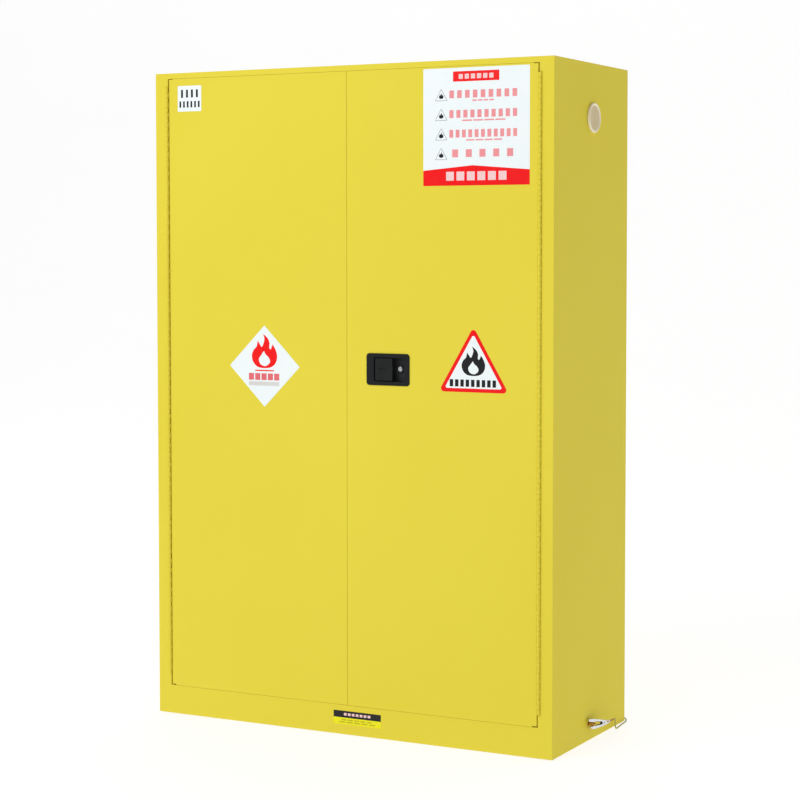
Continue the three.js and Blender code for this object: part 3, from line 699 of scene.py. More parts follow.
def add_lead_crimp():
    """The copper sleeve that joins the lead to the clip's tail."""
    start = Vector(WIRE_ROUTE[0])
    away = (Vector(WIRE_ROUTE[1]) - start).normalized()
    turn = away.to_track_quat("Z", "Y").to_matrix().to_4x4()
    place = Matrix.Translation(start - away * 9 * MM) @ turn
    sleeve = [(2.35, 0), (3.15, 0.4), (3.15, 2.4), (2.8, 3.1), (2.8, 5.2), (3.15, 5.9),
              (3.15, 8.4), (1.9, 8.8)]
    crimp = in_new_mesh(add_turned, in_metres(sleeve), place, 32)
    return finished("clip_crimp", crimp, "cabinet", [COPPER])


lead, lead_length = add_wire()
lead_pieces = [add_coil_tie(), add_ring_terminal(), add_lead_crimp()]
add_clip_jaws()
# The dark leaf between the clip's jaws is painted shade.
add_clip_shade_leaf()


# ---------------- carcass


def front_outline(grow=0.0):
    """The front opening, notched beside the hinges, as X and Z corners, grown all round."""
    notch, lip = NOTCH_X + grow, LIP_X + grow
    z = (OPENING_Z[0] - grow, HINGE_Z[0] - 0.5 * MM - grow, HINGE_Z[1] + 0.5 * MM + grow,
         OPENING_Z[1] + grow)
    right = [(lip, z[0]), (lip, z[1]), (notch, z[1]), (notch, z[2]), (lip, z[2]), (lip, z[3])]
    return right + [(-x, height) for x, height in reversed(right)]


def vent_places():
    """Side, its sign, and the vent's Y and Z."""
    for name, side in SIDES.items():
        centre = middle(f"vent_tube_{name}")
        yield name, side, centre.y, centre.z


def strike_places():
    """The X and Y of each rod's strike hole, and the two heights that it cuts through."""
    for rod, z in (("latch_rod_top", OPENING_Z[1]), ("latch_rod_bottom", OPENING_Z[0] - SHEET)):
        centre = middle(rod)
        yield centre.x, centre.y, (z - MM, z + SHEET + MM)


VENT_HOLE = 27 * MM  # radii
STRIKE_HOLE = 6 * MM


def add_outer_shell():
    """The welded shell: sides, top and front frame as one sheet, with the stops behind it."""
    inner_back = BACK_Y - SHEET - GAP
    mesh = in_new_mesh(add_box, (-SIDE_X, SIDE_X), (FRONT_Y, inner_back), (SKIRT_Z, TOP_Z))
    cavity = (FRONT_Y + SHEET, BACK_Y), (SKIRT_Z - MM, TOP_Z - SHEET)
    mesh = cut(mesh, add_box, grown((-SIDE_X, SIDE_X), -SHEET), *cavity)
    mesh = cut(mesh, add_plate, front_outline(), (FRONT_Y - MM, FRONT_Y + 2 * SHEET))
    rebate = in_new_mesh(add_plate, front_outline(SHEET), (FRONT_Y, STOP_Y + SHEET))
    rebate = cut(rebate, add_plate, front_outline(), (FRONT_Y - MM, STOP_Y))
    rebate = cut(rebate, add_box, (-STOP_X, STOP_X), (STOP_Y - MM, STOP_Y + 2 * SHEET), STOP_Z)
    mesh = boolean(mesh, rebate, "UNION")
    holes = bmesh.new()
    for _, side, y, z in vent_places():
        reach = [(VENT_HOLE, -3 * SHEET), (VENT_HOLE, SHEET)]
        add_turned(holes, reach, along("x" if side > 0 else "-x", (side * SIDE_X, y, z)), 64)
    for x, y, z in strike_places():
        add_turned(holes, [(STRIKE_HOLE, end) for end in z], along("z", (x, y, 0)), 32)
    mesh = boolean(mesh, holes)
    for side in SIDES.values():
        lip_x = sorted((side * (NOTCH_X - HINGE_LIP), side * (NOTCH_X + MM)))
        mesh = joined(mesh, add_box, lip_x, (FRONT_Y, FRONT_Y + SHEET), HINGE_Z)
    shell = finished("outer_shell", mesh, "cabinet", [YELLOW], 0.55 * MM, 3)
    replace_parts(shell, "outer_side_right", "outer_side_left", "outer_top", "head_rail", "base_rail")


ROSE_HOLE = 0.6 * MM
ROSE_RINGS = ((5 * MM, 6), (10 * MM, 12), (15 * MM, 18))  # each ring's radius and its holes


def add_liner():
    """The inner box, pierced where the vents end, its tray and the base floor."""
    for node, paint, edge in (("outer_back", YELLOW, 0.5), ("base_floor", YELLOW, 0.3),
                              ("inner_back", LINER_YELLOW, 0.3), ("inner_top", LINER_YELLOW, 0.3),
                              ("sump_tray", LINER_YELLOW, 0.4)):
        softened(node, "cabinet", paint, edge * MM)
    for name, _, y, z in vent_places():
        node = f"inner_side_{name}"
        x = span(node)[0]
        rose = bmesh.new()
        reach = [(ROSE_HOLE, end) for end in grown(x, MM)]
        for radius, count in ROSE_RINGS:
            for i in range(count):
                angle = 2 * math.pi * i / count
                at = (0, y + radius * math.cos(angle), z + radius * math.sin(angle))
                add_turned(rose, reach, along("x", at), 12)
        mesh = boolean(in_new_mesh(add_box, *span(node)), rose)
        wall = f"liner_side_{name}"
        piece = finished(wall, mesh, "cabinet", [LINER_YELLOW], 0.2 * MM)
        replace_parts(piece, node)


add_outer_shell()
add_liner()


# ---------------- feet


def add_hexagon(mesh, across_flats, z, place):
    """A hexagon nut's blank with its corners turned off, on a local Z axis."""
    corner = across_flats / 2 / math.cos(math.pi / 6)
    trim = 0.09 * (z[1] - z[0])
    (start, end), flat = z, corner - trim
    chamfered = [(flat, start), (corner, start + trim), (corner, end - trim), (flat, end)]
    add_turned(mesh, chamfered, place, 6)


def thread_profile(radius, z, pitch):
    """A ridged stud, from its first height to its second."""
    root = radius - 0.6 * pitch
    profile = [(root, z[0])]
    height = z[0]
    while height + pitch < z[1]:
        profile += [(root, height + 0.1 * pitch), (radius, height + 0.5 * pitch),
                    (root, height + 0.9 * pitch)]
        height += pitch
    return profile + [(root, z[1])]


def add_feet():
    for end in ("front", "back"):
        for name in SIDES:
            node = f"foot_{end}_{name}"
            centre = middle(node)
            place = along("z", (centre.x, centre.y, 0))
            pad = (high(node).x - low(node).x) / 2
            edge = in_metres([(1.2, 0), (0, 1.2), (0, 3.6), (0.6, 4.6), (2, 5.2)])
            disc = [(pad - inset, height) for inset, height in edge]
            neck = in_metres([(10, 10.4), (7, 11), (7, 12)])
            mesh = in_new_mesh(add_turned, disc + neck, place, 64)
            mesh = joined(mesh, add_hexagon, 15.4 * MM, (11.5 * MM, 17 * MM), place)
            thread = thread_profile(5 * MM, (16 * MM, high(node).z), 1.5 * MM)
            mesh = joined(mesh, add_turned, thread, place, 32)
            foot = finished(f"levelling_{node}", mesh, node, [ZINC], merge=False)
            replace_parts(foot, node)


add_feet()


# ---------------- shelving

SLOT_PITCH = 25 * MM
SLOT_HALF_WIDTH = 2 * MM
SLOT_HALF_HEIGHT = 7 * MM


def slot_boxes(node, side):
    """Upright slots down the face of a shelf standard."""
    x, y, (start, end) = span(node)
    centre = sum(y) / 2
    face = x[0] if side > 0 else x[1]
    across = grown((face, face), SLOT_HALF_WIDTH)
    deep = grown((centre, centre), SLOT_HALF_WIDTH)
    boxes = bmesh.new()
    z = start + 20 * MM
    while z < end - 10 * MM:
        add_box(boxes, across, deep, grown((z, z), SLOT_HALF_HEIGHT))
        z += SLOT_PITCH
    return boxes


def add_standard(name, side, end):
    """A folded channel, open towards the liner, with its column of slots."""
    node = f"shelf_standard_{end}_{name}"
    x, y, z = span(node)
    hollow_x = (x[0] + SHEET, x[1] + MM) if side > 0 else (x[0] - MM, x[1] - SHEET)
    mesh = cut(in_new_mesh(add_box, x, y, z), add_box, hollow_x, grown(y, -SHEET), grown(z, MM))
    mesh = boolean(mesh, slot_boxes(node, side))
    piece = finished(f"{node}_soft", mesh, "cabinet", [ZINC], 0.35 * MM)
    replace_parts(piece, node)


def add_shelving():
    for name, side in SIDES.items():
        for end in ("front", "back"):
            add_standard(name, side, end)
        for level in ("lower", "upper"):
            softened(f"shelf_rail_{level}_{name}", "cabinet", ZINC, 0.35 * MM)
    for level in ("lower", "upper"):
        softened(f"shelf_{level}", f"shelf_{level}", ZINC, 0.5 * MM, 3)


add_shelving()


# ---------------- vents


def add_vents():
    """Each side: the flanged tube between the walls, and the cap pushed into its mouth."""
    for name, side, y, z in vent_places():
        node = f"vent_tube_{name}"
        axis = "x" if side > 0 else "-x"
        depth = (SIDE_X - min(abs(low(node).x), abs(high(node).x))) / MM
        profile = [(25, -depth), (26.4, -depth), (26.7, 0.3 - depth), (26.7, 0.3), (33.4, 0.3),
                   (34, 0.8), (34, 1.3), (33.5, 1.8), (25.5, 1.8), (25, 1.3)]
        place = along(axis, (side * SIDE_X, y, z))
        mesh = in_new_mesh(add_ring, in_metres(profile), place, 72)
        tube = finished(f"{node}_fine", mesh, "cabinet", [DARK_STEEL], merge=False)
        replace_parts(tube, node)
        add_vent_cap(name, place)


def add_vent_cap(name, place):
    """A push-in cap: a rolled rim, whose skirt hides the tube's flange, round a dished face."""
    node = f"vent_cap_{name}"
    sides = 96
    base = 2.1  # where the rim rests, off the side panel
    plug = [(0.3, 0), (21.6, 0), (22, -0.4), (22, -11), (24, -11), (24.5, -10.4), (24.5, 0)]
    skirt = [(34.6, 0), (34.6, -1.5), (35.6, -1.5), (35.9, -1.1)]
    rim = [(36, 1.4), (35.8, 3), (35.1, 4.1), (34.2, 4.65), (33, 4.7), (31.9, 4.4), (31, 3.6),
           (30.4, 2.7), (29.6, 2.45)]
    disc = [(14, 2.1), (0.3, 1.9)]
    profile = [(r, base + h) for r, h in plug + skirt + rim + disc]
    mesh = in_new_mesh(add_turned, in_metres(profile), place, sides)
    # The rim and skirt keep the lighter cream, a painted highlight; the dished face and the end caps
    # take the cap's taupe.
    first_disc = (len(plug + skirt + rim) - 1) * sides
    for index, face in enumerate(mesh.faces):
        if index >= first_disc or len(face.verts) > 4:
            face.material_index = 1
    cap = finished(f"{node}_soft", mesh, node, [CAP_RIM_PAINTED_HIGHLIGHT, TAUPE], merge=False)
    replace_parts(cap, node)


add_vents()


# ---------------- doors


def folded_box(x, y, z, radius, soft):
    """A box whose edges have a radius where soft(middle of the edge) says so."""
    mesh = in_new_mesh(add_box, x, y, z)
    bmesh.ops.recalc_face_normals(mesh, faces=mesh.faces)
    edges = [edge for edge in mesh.edges if soft((edge.verts[0].co + edge.verts[1].co) / 2)]
    bmesh.ops.bevel(mesh, geom=edges, offset=radius, segments=4, profile=0.5, affect="EDGES")
    return mesh


def dome(mesh, place, radius, height, sides=20):
    """A low rivet or screw head standing on a local XY plane."""
    profile = [(radius, 0), (radius, 0.25 * height), (0.86 * radius, 0.62 * height),
               (0.55 * radius, 0.9 * height), (0.15 * radius, height)]
    add_turned(mesh, profile, place, sides)


BOLT_HOLE = (6 * MM, 2.5 * MM, 6.5 * MM)  # half its size on each axis


def bolt_opening():
    """The hole in both doors' meeting edges that the latch bolt passes through."""
    _, y, z = (sum(pair) / 2 for pair in span("latch_bolt"))
    seam = (high("door_skin_left").x + low("door_skin_right").x) / 2
    places = zip((seam, y, z), BOLT_HOLE)
    return in_new_mesh(add_box, *(grown((at, at), half) for at, half in places))


FOLD = 2 * MM  # radius of the pan's edges, outside
INNER_FOLD = 0.9 * MM
SEAM_LIP = 0.9 * MM  # how far the face stands past the folded edge at the seam
LIP_GAP = 0.5 * MM  # what the face leaves free above and below it
LIP_END = 12 * MM  # how far from the hinge side the taller face ends


def add_door(name):
    """A folded pan with its openings, the inner panel and its rivets."""
    node = f"door_skin_{name}"
    body = f"door_{name}"
    x = span(node)[0]
    front = FRONT_Y + 0.1 * MM
    mesh = folded_box(x, (FRONT_Y, DOOR_BACK_Y), DOOR_Z, FOLD, lambda at: at.y < front)
    hollow = folded_box(
        grown(x, -SHEET), (FRONT_Y + SHEET, DOOR_BACK_Y + MM), grown(DOOR_Z, -SHEET), INNER_FOLD,
        lambda at: at.y < front + SHEET,
    )
    mesh = boolean(mesh, hollow)
    seam, hinge = (x[0] - SEAM_LIP, x[1]) if name == "right" else (x[1] + SEAM_LIP, x[0])
    lip_x = sorted((seam, hinge - SIDES[name] * LIP_END))
    lip_y, lip_z = (FRONT_Y, FRONT_Y + SHEET), grown(OPENING_Z, -LIP_GAP)
    mesh = joined(mesh, add_box, lip_x, lip_y, lip_z)
    mesh = boolean(mesh, bolt_opening())
    if name == "right":
        mesh = boolean(mesh, latch_opening())
        mesh = boolean(mesh, rod_openings())
    pan = finished(f"{node}_soft", mesh, body, [YELLOW], 0.3 * MM)
    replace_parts(pan, node)
    softened(f"door_inner_panel_{name}", body, LINER_YELLOW, 0.25 * MM)
    add_rivets(name)


RIVET_HEAD = (3.2 * MM, 1.1 * MM)  # radius and height


def add_rivets(name):
    """Rivets round the edge of the door's inner panel, about 150 mm apart."""
    x, _, z = span(f"door_inner_panel_{name}")
    left, right = x[0] + 24 * MM, x[1] - 34 * MM
    bottom, top = z[0] + 84 * MM, z[1] - 44 * MM
    across = [left + (right - left) * i / 3 for i in range(4)]
    up = [bottom + (top - bottom) * i / 10 for i in range(11)]
    places = [(a, b) for a in across for b in up if a in (left, right) or b in (bottom, top)]
    mesh = bmesh.new()
    for a, b in places:
        dome(mesh, along("y", (a, DOOR_BACK_Y, b)), *RIVET_HEAD)
    finished(f"door_rivets_{name}", mesh, f"door_{name}", [ZINC], merge=False)


# ---------------- hinges

KNUCKLES = 121
KNUCKLE_GAP = 0.2 * MM  # at each end of a knuckle
BARREL = 4 * MM
BARREL_BORE = 1.8 * MM
BARREL_EDGE = 0.35 * MM
LEAF_THICKNESS = 1.3 * MM
WEB_THICKNESS = 2.1 * MM  # of the web that joins a knuckle to its leaf


def add_hinge_leaf(name, side, part, body):
    """A thin strip with every second knuckle of a full-height hinge."""
    node = f"hinge_leaf_{part}_{name}"
    way = 1 if part == "frame" else -1
    face = side * (HINGE_X + way * (BARREL + 0.7 * MM))
    inner = face - side * way * LEAF_THICKNESS
    web = face - side * way * WEB_THICKNESS
    mesh = in_new_mesh(add_box, sorted((face, inner)), (HINGE_Y + 2.6 * MM, high(node).y), HINGE_Z)
    pitch = (HINGE_Z[1] - HINGE_Z[0]) / KNUCKLES
    for i in range(0 if part == "frame" else 1, KNUCKLES, 2):
        z = grown((HINGE_Z[0] + i * pitch, HINGE_Z[0] + (i + 1) * pitch), -KNUCKLE_GAP)
        edge = BARREL - BARREL_EDGE
        profile = [(BARREL_BORE, z[0]), (edge, z[0]), (BARREL, z[0] + BARREL_EDGE),
                   (BARREL, z[1] - BARREL_EDGE), (edge, z[1]), (BARREL_BORE, z[1])]
        add_ring(mesh, profile, along("z", (side * HINGE_X, HINGE_Y, 0)), 20)
        add_box(mesh, sorted((face, web)), (HINGE_Y - 0.6 * MM, HINGE_Y + 3.2 * MM), z)
    leaf = finished(f"{node}_fine", mesh, body, [YELLOW], merge=False)
    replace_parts(leaf, node)


def add_hinges():
    for name, side in SIDES.items():
        add_hinge_leaf(name, side, "frame", "cabinet")
        add_hinge_leaf(name, side, "door", f"door_{name}")
        softened(f"hinge_pin_{name}", f"door_{name}", DARK_STEEL, 0.3 * MM)


# ---------------- latch

POCKET_X = (81 * MM, 163 * MM)
POCKET_Z = (882 * MM, 940 * MM)
POCKET_Y = -209.6 * MM
POCKET_WALL = 1.6 * MM
ARM_SLOT_X = (POCKET_X[0], 106 * MM)  # where the paddle's arm passes the pocket's floor
ARM_SLOT_Z = (883 * MM, 891 * MM)
MARK_X, MARK_Z = (95 * MM, 113 * MM), (910 * MM, 915 * MM)  # the paddle's finger mark
MARK_DEPTH = 1.8 * MM
SCREW_HEAD = (3.6 * MM, 0.8 * MM)  # radius and height
COVER_X, COVER_Z = (52 * MM, 190 * MM), (862 * MM, 962 * MM)
KEY_X, _, KEY_Z = joint("key_turn")["pos_m"]
KEY_RADIUS = 5.75 * MM
ROD_HOLE = 5 * MM  # radius
PADDLE_X, PADDLE_Y = joint("latch_paddle_pull")["pos_m"][:2]
CAM_X, CAM_Z = (joint("latch_cam_turn")["pos_m"][i] for i in (0, 2))


def latch_opening():
    clear = POCKET_WALL + 0.9 * MM
    outline = rounded_box(grown(POCKET_X, clear), grown(POCKET_Z, clear), 4 * MM)
    return in_new_mesh(add_plate, outline, (FRONT_Y - MM, FRONT_Y + 5 * MM))


def rod_openings():
    mesh = bmesh.new()
    for rod, z in (("latch_rod_top", DOOR_Z[1]), ("latch_rod_bottom", DOOR_Z[0])):
        centre = middle(rod)
        profile = [(ROD_HOLE, end) for end in grown((z, z), 3 * MM)]
        add_turned(mesh, profile, along("z", (centre.x, centre.y, 0)), 32)
    return mesh


def add_latch_dish():
    """A moulded pocket with a raised flange, a collar for the lock and its working holes."""
    outer_x, (front, stub_end), outer_z = span("latch_dish")
    back = POCKET_Y + POCKET_WALL
    seat = FRONT_Y - GAP
    flange, pocket = (outer_x, outer_z), (POCKET_X, POCKET_Z)
    steps = [  # box, inset and corner radius in mm, Y and mm past it
        (pocket, -1.6, 5, back, 0), (pocket, -1.6, 5, seat, 0), (flange, 0.2, 8, seat, 0),
        (flange, 0, 8, FRONT_Y, -0.6), (flange, 0.1, 7.9, front, 0.9),
        (flange, 0.55, 7.5, front, 0.3), (flange, 1.3, 6.8, front, 0),
        (pocket, -1.5, 4.5, front, 0), (pocket, -0.5, 3.6, front, 0.3),
        (pocket, 0, 3.2, front, 1.2), (pocket, 0, 3.2, POCKET_Y, -1.4),
        (pocket, 0.4, 2.9, POCKET_Y, -0.4), (pocket, 1.4, 2.2, POCKET_Y, 0),
    ]
    rings = []
    for (x, z), inset, radius, y, past in steps:
        outline = rounded_box(grown(x, -inset * MM), grown(z, -inset * MM), radius * MM, 6)
        rings.append([(a, y + past * MM, b) for a, b in outline])
    mesh = in_new_mesh(loop_faces, rings)
    lock = along("-y", (KEY_X, 0, KEY_Z))
    profile = [(9.5, -0.5), (9.5, 3.2), (9.1, 4), (8.3, 4.4)]
    collar = [(r * MM, h * MM - POCKET_Y) for r, h in profile]
    mesh = joined(mesh, add_turned, collar, lock, 48)
    cam_axis = along("y", (CAM_X, 0, CAM_Z))
    for radius, end in ((8 * MM, low("latch_cam").y - GAP), (4 * MM, stub_end)):
        boss = [(radius, back - 0.5 * MM), (radius, end)]
        mesh = joined(mesh, add_turned, boss, cam_axis, 32)
    bore = KEY_RADIUS + 0.3 * MM
    holes = in_new_mesh(add_turned, [(bore, -back - MM), (bore, collar[-1][1] + MM)], lock, 48)
    add_box(holes, ARM_SLOT_X, (POCKET_Y - MM, back + MM), ARM_SLOT_Z)
    pins = [(1.9 * MM, z) for z in grown(POCKET_Z, 5 * MM)]
    add_turned(holes, pins, along("z", (PADDLE_X, PADDLE_Y, 0)), 24)
    mesh = boolean(mesh, holes)
    # Faces deep in the pocket get the lighter black: painted light that lifts the recess out of the
    # shade it falls in.
    for face in mesh.faces:
        if face.calc_center_median().y > POCKET_Y - 6 * MM:
            face.material_index = 1
    blacks = [BLACK, BLACK_POCKET_PAINTED_LIGHT]
    dish = finished("latch_dish_fine", mesh, "door_right", blacks, 0.25 * MM)
    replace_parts(dish, "latch_dish")


def add_paddle():
    """The lifting paddle, with a finger mark pressed in near its hinge."""
    face = low("latch_paddle").y
    mark = rounded_box(MARK_X, MARK_Z, 2.2 * MM)
    mesh = cut(cad_mesh("latch_paddle"), add_plate, mark, (face - MM, face + MARK_DEPTH))
    name = "latch_paddle_soft"
    paddle = finished(name, mesh, "paddle", [BLACK_PADDLE], 0.7 * MM, 3)
    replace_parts(paddle, "latch_paddle")


def add_lock():
    """A round cylinder with a keyway, and its tongue behind the pocket."""
    front = -low("lock_cylinder").y
    back = POCKET_Y + POCKET_WALL
    place = along("-y", (KEY_X, 0, KEY_Z))
    face = in_metres([(0, 0.7), (0.2, 0.25), (0.7, 0), (1.5, 0), (1.8, 0.3)])
    profile = [(KEY_RADIUS - inset, front - down) for inset, down in face]
    profile.insert(0, (KEY_RADIUS, -back - 1.2 * MM))
    mesh = in_new_mesh(add_turned, profile, place, 48)
    y, z = (back + 0.6 * MM, high("lock_cylinder").y), (low("lock_cylinder").z, KEY_Z + 4 * MM)
    mesh = joined(mesh, add_box, grown((KEY_X, KEY_X), 4 * MM), y, z)
    y, z = (-front - MM, -front + 4 * MM), grown((KEY_Z, KEY_Z), 3 * MM)
    mesh = cut(mesh, add_box, grown((KEY_X, KEY_X), 0.6 * MM), y, z)
    lock = finished("lock_cylinder_fine", mesh, "key_plug", [CHROME], 0.15 * MM)
    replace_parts(lock, "lock_cylinder")


def add_latch_cover():
    """The plate inside the door that closes off the latch, held by four screws."""
    y = (DOOR_BACK_Y, DOOR_BACK_Y + SHEET)
    mesh = in_new_mesh(add_plate, rounded_box(COVER_X, COVER_Z, 6 * MM), y)
    finished("latch_cover", mesh, "door_right", [LINER_YELLOW], 0.3 * MM)
    screws = bmesh.new()
    for a in grown(COVER_X, -9 * MM):
        for b in grown(COVER_Z, -9 * MM):
            dome(screws, along("y", (a, DOOR_BACK_Y + 1.15 * MM, b)), *SCREW_HEAD, 24)
    finished("latch_cover_screws", screws, "door_right", [ZINC], merge=False)


def add_latch_works():
    for node, body in (("latch_cam", "cam"), ("latch_rod_top", "rod_top"),
                       ("latch_rod_bottom", "rod_bottom"), ("latch_bolt", "bolt")):
        softened(node, body, ZINC, 0.25 * MM)


for door in SIDES:
    add_door(door)
add_hinges()
add_latch_dish()
add_paddle()
add_lock()
add_latch_cover()
add_latch_works()


# ---------------- earth stud


def add_earth_stud():
    """A brass stud through the side wall, with a washer, a nut and a bare threaded end."""
    centre = middle("earth_stud")
    place = along("x", (SIDE_X, centre.y, centre.z))
    washer = [(7.6, 0.3), (8, 0.5), (8, 1.5), (7.6, 1.75), (4, 1.8)]
    mesh = in_new_mesh(add_turned, in_metres(washer), place, 40)
    mesh = joined(mesh, add_hexagon, 10 * MM, (1.7 * MM, 13.9 * MM), place)
    thread = thread_profile(3 * MM, (13 * MM, 19.4 * MM), MM)
    mesh = joined(mesh, add_turned, thread, place, 24)
    piece = finished("earth_stud_fine", mesh, "cabinet", [BRASS], 0.2 * MM)
    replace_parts(piece, "earth_stud")


add_earth_stud()


# ---------------- labels

FLAME = [
    (0.00, 0.00), (-0.28, 0.04), (-0.45, 0.18), (-0.50, 0.36), (-0.43, 0.52), (-0.31, 0.63),
    (-0.27, 0.80), (-0.27, 0.80), (-0.17, 0.68), (-0.10, 0.62), (-0.03, 0.74), (0.00, 0.86),
    (-0.05, 1.00), (-0.05, 1.00), (0.12, 0.88), (0.20, 0.74), (0.19, 0.60), (0.25, 0.56),
    (0.32, 0.70), (0.32, 0.70), (0.44, 0.54), (0.50, 0.35), (0.44, 0.16), (0.28, 0.04),
]
TONGUE = [
    (0.00, 0.06), (-0.16, 0.12), (-0.22, 0.26), (-0.13, 0.38), (-0.02, 0.50), (-0.02, 0.50),
    (0.05, 0.40), (0.16, 0.32), (0.22, 0.20), (0.14, 0.10),
]


def triangle(middle_x, base, half, height, radius, inset=0.0):
    """Point up, corners rounded, its sides moved inwards by inset."""
    slope = math.atan2(height, half)
    half_in = half - inset / math.tan(slope / 2)
    base_in = base + inset
    apex = base_in + half_in * height / half
    corners = [(middle_x - half_in, base_in), (middle_x + half_in, base_in), (middle_x, apex)]
    return rounded_polygon(corners, radius, 8)


def flame(points, x, z):
    """A flame's outline fitted between two X and two Z values."""
    centre = (x[0] + x[1]) / 2
    fitted = [(centre + a * (x[1] - x[0]), z[0] + b * (z[1] - z[0])) for a, b in points]
    return smooth_outline(fitted, 5)


def blocks(x, z, count, gap):
    """A row of equal plain blocks, in place of writing."""
    width = (x[1] - x[0] - gap * (count - 1)) / count
    starts = [x[0] + i * (width + gap) for i in range(count)]
    return [rectangle((start, start + width), z) for start in starts]


LABEL_BODIES = {
    "label_main": "door_right",
    "label_triangle": "door_right",
    "label_diamond": "door_left",
    "label_square": "door_left",
    "label_base": "cabinet",
}


def printed(ink, height, outlines):
    """One layer for each outline."""
    return [(ink, height, outline) for outline in outlines]


def label_span(node):
    """The label's two X and two Z values, in millimetres."""
    x, _, z = span(node)
    return (x[0] / MM, x[1] / MM), (z[0] / MM, z[1] / MM)


def add_label(node, inks, layers):
    """Thin printed layers over a film on the front; layers are (ink, height, outline in mm)."""
    mesh = bmesh.new()
    for ink, height, outline in layers:
        back = FRONT_Y - (0.02 if height == 0 else 0.16 + 0.06 * (height - 1)) * MM
        front = FRONT_Y - (0.18 + 0.06 * height) * MM
        add_plate(mesh, in_metres(outline), (back, front), inks.index(ink))
    body = LABEL_BODIES[node]
    piece = finished(f"{node}_printed", mesh, body, inks, merge=False)
    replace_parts(piece, node)


def add_main_label():
    """A header, four rows of small sign, word and fine print, and a wide footer band."""
    (left, right), (base, top) = label_span("label_main")
    base += 4  # the print ends above the film's foot
    header_x, header_z = (294, 415), (1599, 1623)
    sign_x = 262.8
    layers = [(WHITE_FILM, 0, rounded_box((left, right), (base, top), 3))]
    layers.append((RED_FILM, 1, rectangle(header_x, header_z)))
    layers += printed(BLUSH_FILM, 2, blocks(grown(header_x, -15), (1605, 1616.5), 6, 5))
    rows = [  # height of the middle, X of the words, how many and their gap, X of the fine print
        (1568.5, (284.5, 461), 9, 8.5, (345, 401)),
        (1522, (284.5, 461), 10, 7.5, (318, 431)),
        (1475.5, (284.5, 461), 11, 6.5, (329, 422)),
        (1429, (292, 451), 5, 20, None),
    ]
    for centre, across, count, gap, fine_print in rows:
        flame_z = (centre - 9, centre + 4.5)
        layers += [
            (GREY_FILM, 1, triangle(sign_x, centre - 14, 16.5, 29, 1.2)),
            (WHITE_FILM, 2, triangle(sign_x, centre - 14, 16.5, 29, 0.6, 1.1)),
            (BLACK_FILM, 3, flame(FLAME, (sign_x - 6, sign_x + 6), flame_z)),
        ]
        words = blocks(across, (centre - 8.5, centre + 10), count, gap)
        if fine_print:
            words += blocks(fine_print, (centre - 16.5, centre - 13), 4, 3)
        layers += printed(PINK_FILM, 1, words)
    band = [(left, base), (right, base), (right, 1389), (346, 1401), (left, 1390)]
    layers.append((RED_FILM, 1, band))
    layers += printed(BLUSH_FILM, 2, blocks((276, 434), (1365.5, 1386.5), 6, 7))
    films = [WHITE_FILM, RED_FILM, PINK_FILM, BLUSH_FILM, GREY_FILM, BLACK_FILM]
    add_label("label_main", films, layers)


def add_triangle_label():
    base = low("label_triangle").z / MM
    centre = middle("label_triangle").x / MM
    half, height = 92, 156
    flame_x, flame_z = (centre - 31, centre + 31), (902, 972)
    words_x, words_z = (286, 408), (876, 893)
    layers = [
        (RED_FILM, 0, triangle(centre, base, half, height, 8)),
        (WHITE_FILM, 1, triangle(centre, base, half, height, 4, 9)),
        (BLACK_FILM, 2, flame(FLAME, flame_x, flame_z)),
        (WHITE_FILM, 3, flame(TONGUE, flame_x, flame_z)),
    ]
    layers += printed(BLACK_FILM, 2, blocks(words_x, words_z, 9, 5))
    add_label("label_triangle", [RED_FILM, WHITE_FILM, BLACK_FILM], layers)


def add_diamond_label():
    centre = middle("label_diamond")
    x, z = centre.x / MM, centre.z / MM
    half = (high("label_diamond").x - low("label_diamond").x) / 2 / MM
    diamond = [(x, z - half), (x + half, z), (x, z + half), (x - half, z)]
    flame_x, flame_z, words_x = (x - 37, x + 37), (905, 991), (x - 46, x + 43)
    layers = [
        (WHITE_FILM, 0, diamond),
        (RED_FILM, 1, flame(FLAME, flame_x, flame_z)),
        (WHITE_FILM, 2, flame(TONGUE, flame_x, flame_z)),
        (RED_FILM, 1, rectangle((x - 27.5, x + 27.5), (897.5, 900.5))),
        (LIGHT_FILM, 1, rectangle(words_x, (861, 871))),
    ]
    layers += printed(ROSE_FILM, 1, blocks(words_x, (875, 892), 5, 3.5))
    add_label("label_diamond", [WHITE_FILM, RED_FILM, ROSE_FILM, LIGHT_FILM], layers)


def add_square_label():
    x, z = label_span("label_square")
    words = blocks(grown(x, -10), (z[0] + 35, z[0] + 55), 4, 9)
    words += blocks(grown(x, -5), (z[0] + 10, z[0] + 26), 6, 6)
    layers = [(WHITE_FILM, 0, rounded_box(x, z, 2))] + printed(BLACK_FILM, 1, words)
    add_label("label_square", [WHITE_FILM, BLACK_FILM], layers)


def add_base_label():
    """A black upper half with one word, and two fine lines below it."""
    x, z = label_span("label_base")
    half_z = (z[0] + z[1]) / 2
    width = x[1] - x[0]
    layers = [(LEMON_FILM, 0, rounded_box(x, z, 1))]
    layers.append((BLACK_FILM, 1, rectangle(x, (half_z, z[1]))))
    word = (x[0] + 0.22 * width, x[0] + 0.78 * width)
    layers += printed(BLUSH_FILM, 2, blocks(word, (half_z + 5.5, z[1] - 5), 7, 3.5))
    for start, end, up in ((0.17, 0.81, 0.66), (0.12, 0.88, 0.32)):
        at = z[0] + (half_z - z[0]) * up
        line = (x[0] + start * width, x[0] + end * width)
        layers += printed(OLIVE_FILM, 1, blocks(line, (at - 1.5, at + 1.5), 5, 4))
    add_label("label_base", [LEMON_FILM, BLACK_FILM, BLUSH_FILM, OLIVE_FILM], layers)


add_main_label()
add_triangle_label()
add_diamond_label()
add_square_label()
add_base_label()


# ---------------- stage


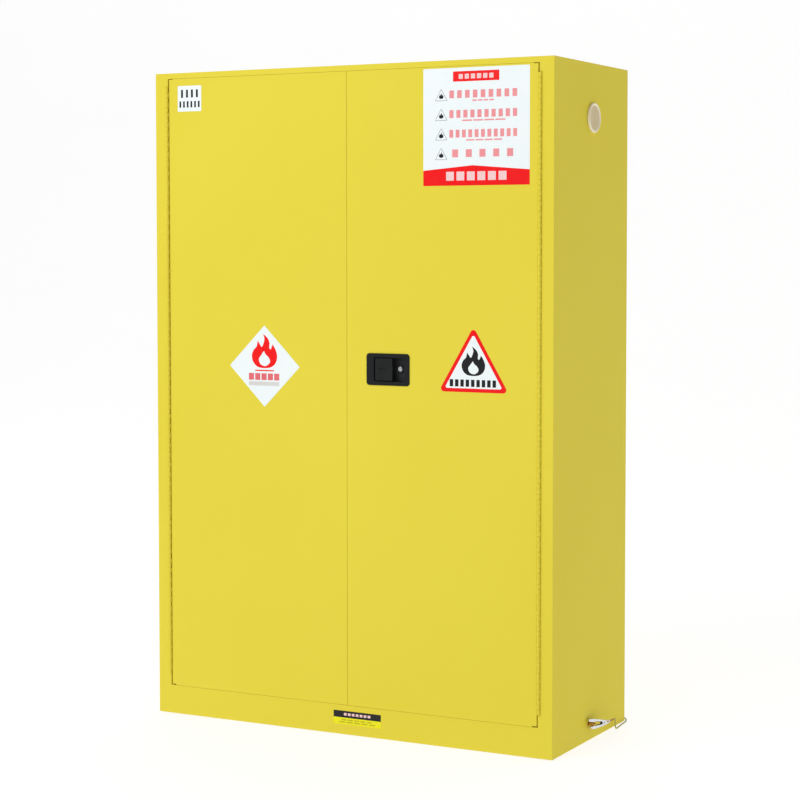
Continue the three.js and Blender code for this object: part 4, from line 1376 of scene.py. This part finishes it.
def add_floor():
    """A pale studio sweep: flat under the cabinet, curving up far behind it."""
    width, front, back, bend, top = 28, -14, 3, 4, 12
    profile = [(front, 0), (-3, 0), (back, 0)]
    for i in range(1, 10):
        angle = math.radians(i * 10)
        profile.append((back + bend * math.sin(angle), bend - bend * math.cos(angle)))
    profile.append((back + bend, top))
    mesh = bmesh.new()
    rows = [[mesh.verts.new((x, y, z)) for y, z in profile] for x in (-width / 2, width / 2)]
    for i in range(len(profile) - 1):
        mesh.faces.new((rows[0][i], rows[1][i], rows[1][i + 1], rows[0][i + 1]))
    for face in mesh.faces:
        face.smooth = True
    data = bpy.data.meshes.new("floor")
    mesh.to_mesh(data)
    mesh.free()
    data.materials.append(FLOOR)
    in_scene("floor", data)


def add_light(name, place, size, power, aim=(0, 0, 0.8)):
    data = bpy.data.lights.new(name, "AREA")
    data.shape = "RECTANGLE"
    data.size, data.size_y = size
    data.energy = power
    light = in_scene(name, data)
    light.location = place
    light.rotation_euler = (Vector(aim) - Vector(place)).to_track_quat("-Z", "Y").to_euler()


def add_world(strength):
    """Even white light of the given strength, which the camera itself sees at full white."""
    world = bpy.data.worlds.new("studio")
    world.use_nodes = True
    nodes, links = world.node_tree.nodes, world.node_tree.links
    seen = nodes.new("ShaderNodeMapRange")
    seen.inputs["To Min"].default_value = strength
    seen.inputs["To Max"].default_value = 1.0
    background = nodes["Background"]
    background.inputs["Color"].default_value = (1, 1, 1, 1)
    links.new(nodes.new("ShaderNodeLightPath").outputs["Is Camera Ray"], seen.inputs["Value"])
    links.new(seen.outputs["Result"], background.inputs["Strength"])
    bpy.context.scene.world = world


FILL_STRENGTH = 0.32
KEY_LIGHT_PLACE = (-1.7, -5.1, 4.1)
KEY_LIGHT_SIZE = (5.0, 4.0)
KEY_LIGHT_WATTS = 172

bpy.context.scene.view_settings.view_transform = "Standard"
add_floor()
add_world(FILL_STRENGTH)
add_light("key", KEY_LIGHT_PLACE, KEY_LIGHT_SIZE, KEY_LIGHT_WATTS)
